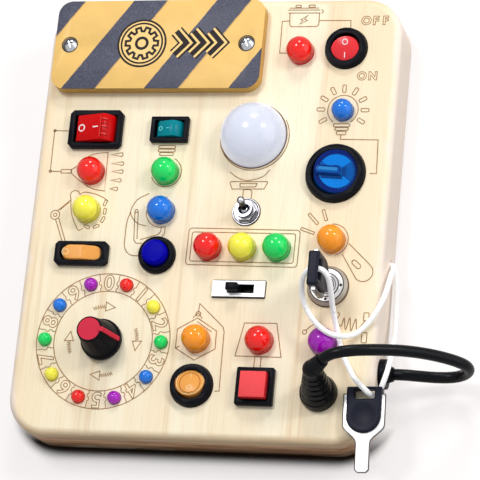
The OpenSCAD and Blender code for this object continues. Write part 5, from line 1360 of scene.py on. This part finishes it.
# painted highlight: pale red lines beside the ridge and ribs
rocker_marks("big_rocker_gleams", "big_rocker_tilt", -15, BIG_TOP,
    [([(4.55, -4.2), (4.55, 4.2)], False)] + [([(5.0 + 0.45 * k, y) for k in range(5)], False)
        for y in (-3.0, 0.1, 3.1)], 0.24, RED_GLEAM, BIG_REACH)
rocker_marks("small_rocker_marks", "small_rocker_tilt", -15, SMALL_TOP,
    [ring(-2.1, 0, 0.75, 20), ([(0.4, 0), (1.6, 0)], False)], 0.32, PALE_TEAL)
rocker_marks("red_rocker_marks", "red_rocker_tilt", 12, ROUND_TOP,
    [ring(0, 2.5, 1.0), ([(0, -1.4), (0, -3.6)], False)], 0.36, WHITE_PRINT)
rocker_marks("orange_rocker_marks", "orange_rocker_tilt", -12, ROUND_TOP,
    [ring(0, -2.3, 0.9), ([(0, 1.6), (0, 3.6)], False), ring(0, 0, 5.1, 40)], 0.3, PALE_ORANGE)
rocker_marks("orange_rocker_rings", "orange_rocker_tilt", -12, ROUND_TOP,
    [ring(0, 0, 5.5, 40), ring(0, -0.4, 3.9, 32)], 0.3, DEEP_ORANGE)
rocker_marks("boat_rocker_mark", "boat_rocker_tilt", 0, BOAT_TOP - 0.06,
    [ring(-5.4, 0, 1.0), (arc(-5.2, 0, 1.7, 120, 240), False)], 0.3, PALE_ORANGE)
# painted shade: a deep blue ring round the wide paddle's edge
rocker_marks("wide_rocker_rim_shade", "wide_rocker_tilt", 12, WIDE_TOP - 0.02,
    [ring(0, 0, 7.5, 72)], 1.7, BLUE_SHADE)
# painted glow: bright blue arcs where light would come through the wide paddle
rocker_marks("wide_rocker_glow", "wide_rocker_tilt", 12, WIDE_TOP - 0.02,
    [(arc(0, 0, 4.4, 38, 150, 40), False), (arc(0, 0, 4.5, 205, 325, 40), False)], 4.0, BLUE_GLOW)
rocker_marks("wide_rocker_teeth", "wide_rocker_tilt", 12, WIDE_TOP,
    [([(r * math.cos(math.radians(a)), r * math.sin(math.radians(a)))
        for a, r in ((-84 + 5 * k, 6.5 + 0.6 * (k % 2)) for k in range(28))], False)], 0.34, MID_BLUE)
# painted shadow: mid blue bands below the bar and beside its end
rocker_marks("wide_rocker_bar_shadow", "wide_rocker_tilt", 12, WIDE_TOP,
    [([(-5.4, -2.4), (2.4, -2.4)], False), ([(3.0, 1.8), (3.0, -2.0)], False)], 1.4, MID_BLUE)
# painted shade: a deep blue outline round the bar
rocker_marks("wide_rocker_bar_edge_shade", "wide_rocker_tilt", 12, WIDE_TOP + 1.2,
    [(box_line(-3.2, 0, 9.0, 2.8, 1.3), True)], 0.4, BLUE_SHADE)
# painted highlight: a pale blue line along the bar
rocker_marks("wide_rocker_bar_gleam", "wide_rocker_tilt", 12, WIDE_TOP + 1.2,
    [([(-6.6, 0.35), (0.2, 0.35)], False)], 1.2, BLUE_GLEAM)


def flat_marks(name, z, shapes, width, material, body="board"):
    """Thin lines that lie on a flat part of a fitting, at one height."""
    bm = bmesh.new()
    for points, closed in shapes:
        add_strip(bm, points, width, closed, z - 0.03, z + 0.04)
    close_piece(bm, name, material, body)


def plate_outline(node_name, width, material):
    """A thin line along the rim of a flat piece's upper face, wherever that piece lies."""
    bm = bmesh.new()
    bm.from_mesh(frame["nodes"][node_name].data)
    bmesh.ops.remove_doubles(bm, verts=bm.verts, dist=MERGE)
    bmesh.ops.dissolve_limit(bm, angle_limit=0.02, verts=bm.verts, edges=bm.edges)
    bm.normal_update()
    face = max((one for one in bm.faces if one.normal.z > 0), key=lambda one: one.calc_area())
    turn = face.normal.to_track_quat("Z", "Y").to_matrix()
    corners = [turn.transposed() @ (vert.co / MM) for vert in face.verts]
    bm.free()
    strip = bmesh.new()
    add_strip(strip, [point.xy for point in corners], width, True, corners[0].z - 0.03, corners[0].z + 0.05,
        lambda point: turn @ point * MM)
    close_piece(strip, node_name + "_rim", material, BODY_OF_NODE[node_name])


# painted shade: a dark line round the rim of the loose key's steel, for its shaded edge
plate_outline("key_two_steel", 0.3, EDGE_SHADE)
dome_low, dome_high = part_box("dome_lens")
dome_x, dome_y = ((dome_low + dome_high) / 2).xy / MM
DOME_R = 12.5
# painted shade: a dark ring on the wood round the dome
flat_marks("dome_seat_shade", FACE_Z, [ring(dome_x, dome_y, DOME_R + 0.25, 72)], 0.45, SHADE)


def joint_place(joint):
    """Where a joint stands on the board, in millimetres."""
    facts = next(one for one in frame["joints"] if one["name"] == joint)
    return facts["pos_m"][0] / MM, facts["pos_m"][1] / MM


LOCK_R = 7.5
LOCK_BEVEL = 1.2
CORE_R = 4.2
WASHER_R = 5.2
lock_x, lock_y = joint_place("lock_turn")
lock_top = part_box("lock_barrel")[1].z / MM
core_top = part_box("lock_core")[1].z / MM
# painted shade: a dark ring on the wood round the lock
flat_marks("lock_seat_shade", FACE_Z, [ring(lock_x, lock_y, LOCK_R + 0.1, 48)], 0.5, SHADE)
# painted shade: dark rings at the lock's bevel and in the gap round its core
flat_marks("lock_shade_rings", lock_top,
    [ring(lock_x, lock_y, r, 48) for r in (LOCK_R - LOCK_BEVEL, CORE_R + 0.2)], 0.36, EDGE_SHADE)
# painted shade: dark dots for two small holes in the lock's face
flat_marks("lock_hole_shades", lock_top, [ring(lock_x + 5.3 * math.cos(a), lock_y + 5.3 * math.sin(a), 0.28, 12)
    for a in (0, -math.pi / 2)], 0.5, EDGE_SHADE)
# painted shade: dark rings on the lock's core
flat_marks("core_shade_rings", core_top, [ring(lock_x, lock_y, r, 36) for r in (2.7, 3.4)], 0.24, EDGE_SHADE, "lock")
# painted shade: a dark ring round each screw head on the sign
for k, points in enumerate(shells(frame["nodes"]["sign_screws"].data)):
    corners = [Vector([pick(p[axis] for p in points) for axis in range(2)]) for pick in (min, max)]
    middle = (corners[0] + corners[1]) / 2
    flat_marks("screw_shade_ring_%d" % k, sign_high.z / MM,
        [ring(middle.x, middle.y, (corners[1].x - corners[0].x) / 2 + 0.1, 32)], 0.5, EDGE_SHADE)
plate_low, plate_high = (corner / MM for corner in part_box("slide_switch_plate"))
plate_x, plate_y = ((plate_low + plate_high) / 2).xy
plate_l, plate_w = (plate_high - plate_low).xy
# painted shade: a dark line on the wood round the slide plate
flat_marks("slide_seat_shade", FACE_Z, [(box_line(plate_x, plate_y, plate_l, plate_w, 0.3), True)], 0.5, SHADE)
toggle_x, toggle_y = joint_place("toggle_flip")
# painted shade: a dark ring on the wood round the toggle's washer
flat_marks("toggle_seat_shade", FACE_Z, [ring(toggle_x, toggle_y, WASHER_R + 0.1, 40)], 0.45, SHADE)
# painted shade: a dark ring on the toggle's washer round its nut
flat_marks("toggle_shade_rings", FACE_Z + 0.7, [ring(toggle_x, toggle_y, WASHER_R - 0.5, 40)], 0.36, EDGE_SHADE)


# ---------------------------------------------------------------- sign motif

def sign_motif():
    """A cog in a round badge with arrowheads on its right, printed over the stripes."""
    top = sign_high.z / MM
    x, y = -30.5, 66.4

    def layer(name, material, shapes, step):
        bm = bmesh.new()
        for points, closed, width in shapes:
            add_strip(bm, points, width, closed, top - 0.02, top + 0.04 * step)
        close_piece(bm, name, material, "board")

    def disc(name, material, r, step):
        bm = bmesh.new()
        rows = [[bm.verts.new(Vector((px, py, z)) * MM) for px, py in arc(x, y, r, 0, 360, 60)[:-1]]
            for z in (top - 0.02, top + 0.04 * step)]
        bm.faces.new(rows[0][::-1])
        bm.faces.new(rows[1])
        for k in range(60):
            bm.faces.new((rows[0][k - 1], rows[0][k], rows[1][k], rows[1][k - 1]))
        close_piece(bm, name, material, "board")

    cog = [(x + r * math.cos(math.radians(36 * k + turn)), y + r * math.sin(math.radians(36 * k + turn)))
        for k in range(10) for turn, r in ((-12, 4.9), (-8, 6.5), (8, 6.5), (12, 4.9))]
    heads = [[(mid + x, y + 4.8), (mid + x + 4.4, y), (mid + x, y - 4.8)] for mid in (13.4, 20.2, 27.0)]
    disc("badge_edge", NAVY_PRINT, 9.8, 1)
    layer("arrow_edges", NAVY_PRINT, [(head, False, 5.2) for head in heads], 1)
    disc("badge_fill", YELLOW_PRINT, 9.0, 2)
    layer("arrow_fills", YELLOW_PRINT, [(head, False, 3.8) for head in heads], 2)
    layer("cog_lines", NAVY_PRINT, [(arc(x, y, 8.1, 0, 360, 60), True, 0.7), (cog, True, 0.9),
        (arc(x, y, 2.2, 0, 360, 30), True, 1.1)] + [(head, False, 2.0) for head in heads], 3)


sign_motif()


# ---------------------------------------------------------------- springs

def button_spring(name, node_name, x, y):
    """A real wound spring under a push button."""
    low, high, radius, wire, turns = 9.2, 18.5, 3.0, 0.6, 5.5
    steps = 140
    route = []
    for k in range(steps + 1):
        t = k / steps
        rise = min(max((t - 0.12) / 0.76, 0), 1)
        a = math.tau * turns * t
        route.append(Vector((x + radius * math.cos(a), y + radius * math.sin(a),
            low + wire / 2 + (high - low - wire) * rise)) * MM)
    piece = add_object(name, tube_mesh(name, route, wire / 2 * MM, 8))
    dress(piece, MATERIALS["spring_steel"])
    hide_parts(node_name)
    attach(piece, "board")
    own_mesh(piece)


for colour in ("round", "square"):
    spring_low, spring_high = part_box(colour + "_button_spring")
    spring_x, spring_y = ((spring_low + spring_high) / 2).xy / MM
    button_spring(colour + "_button_coil", colour + "_button_spring", spring_x, spring_y)
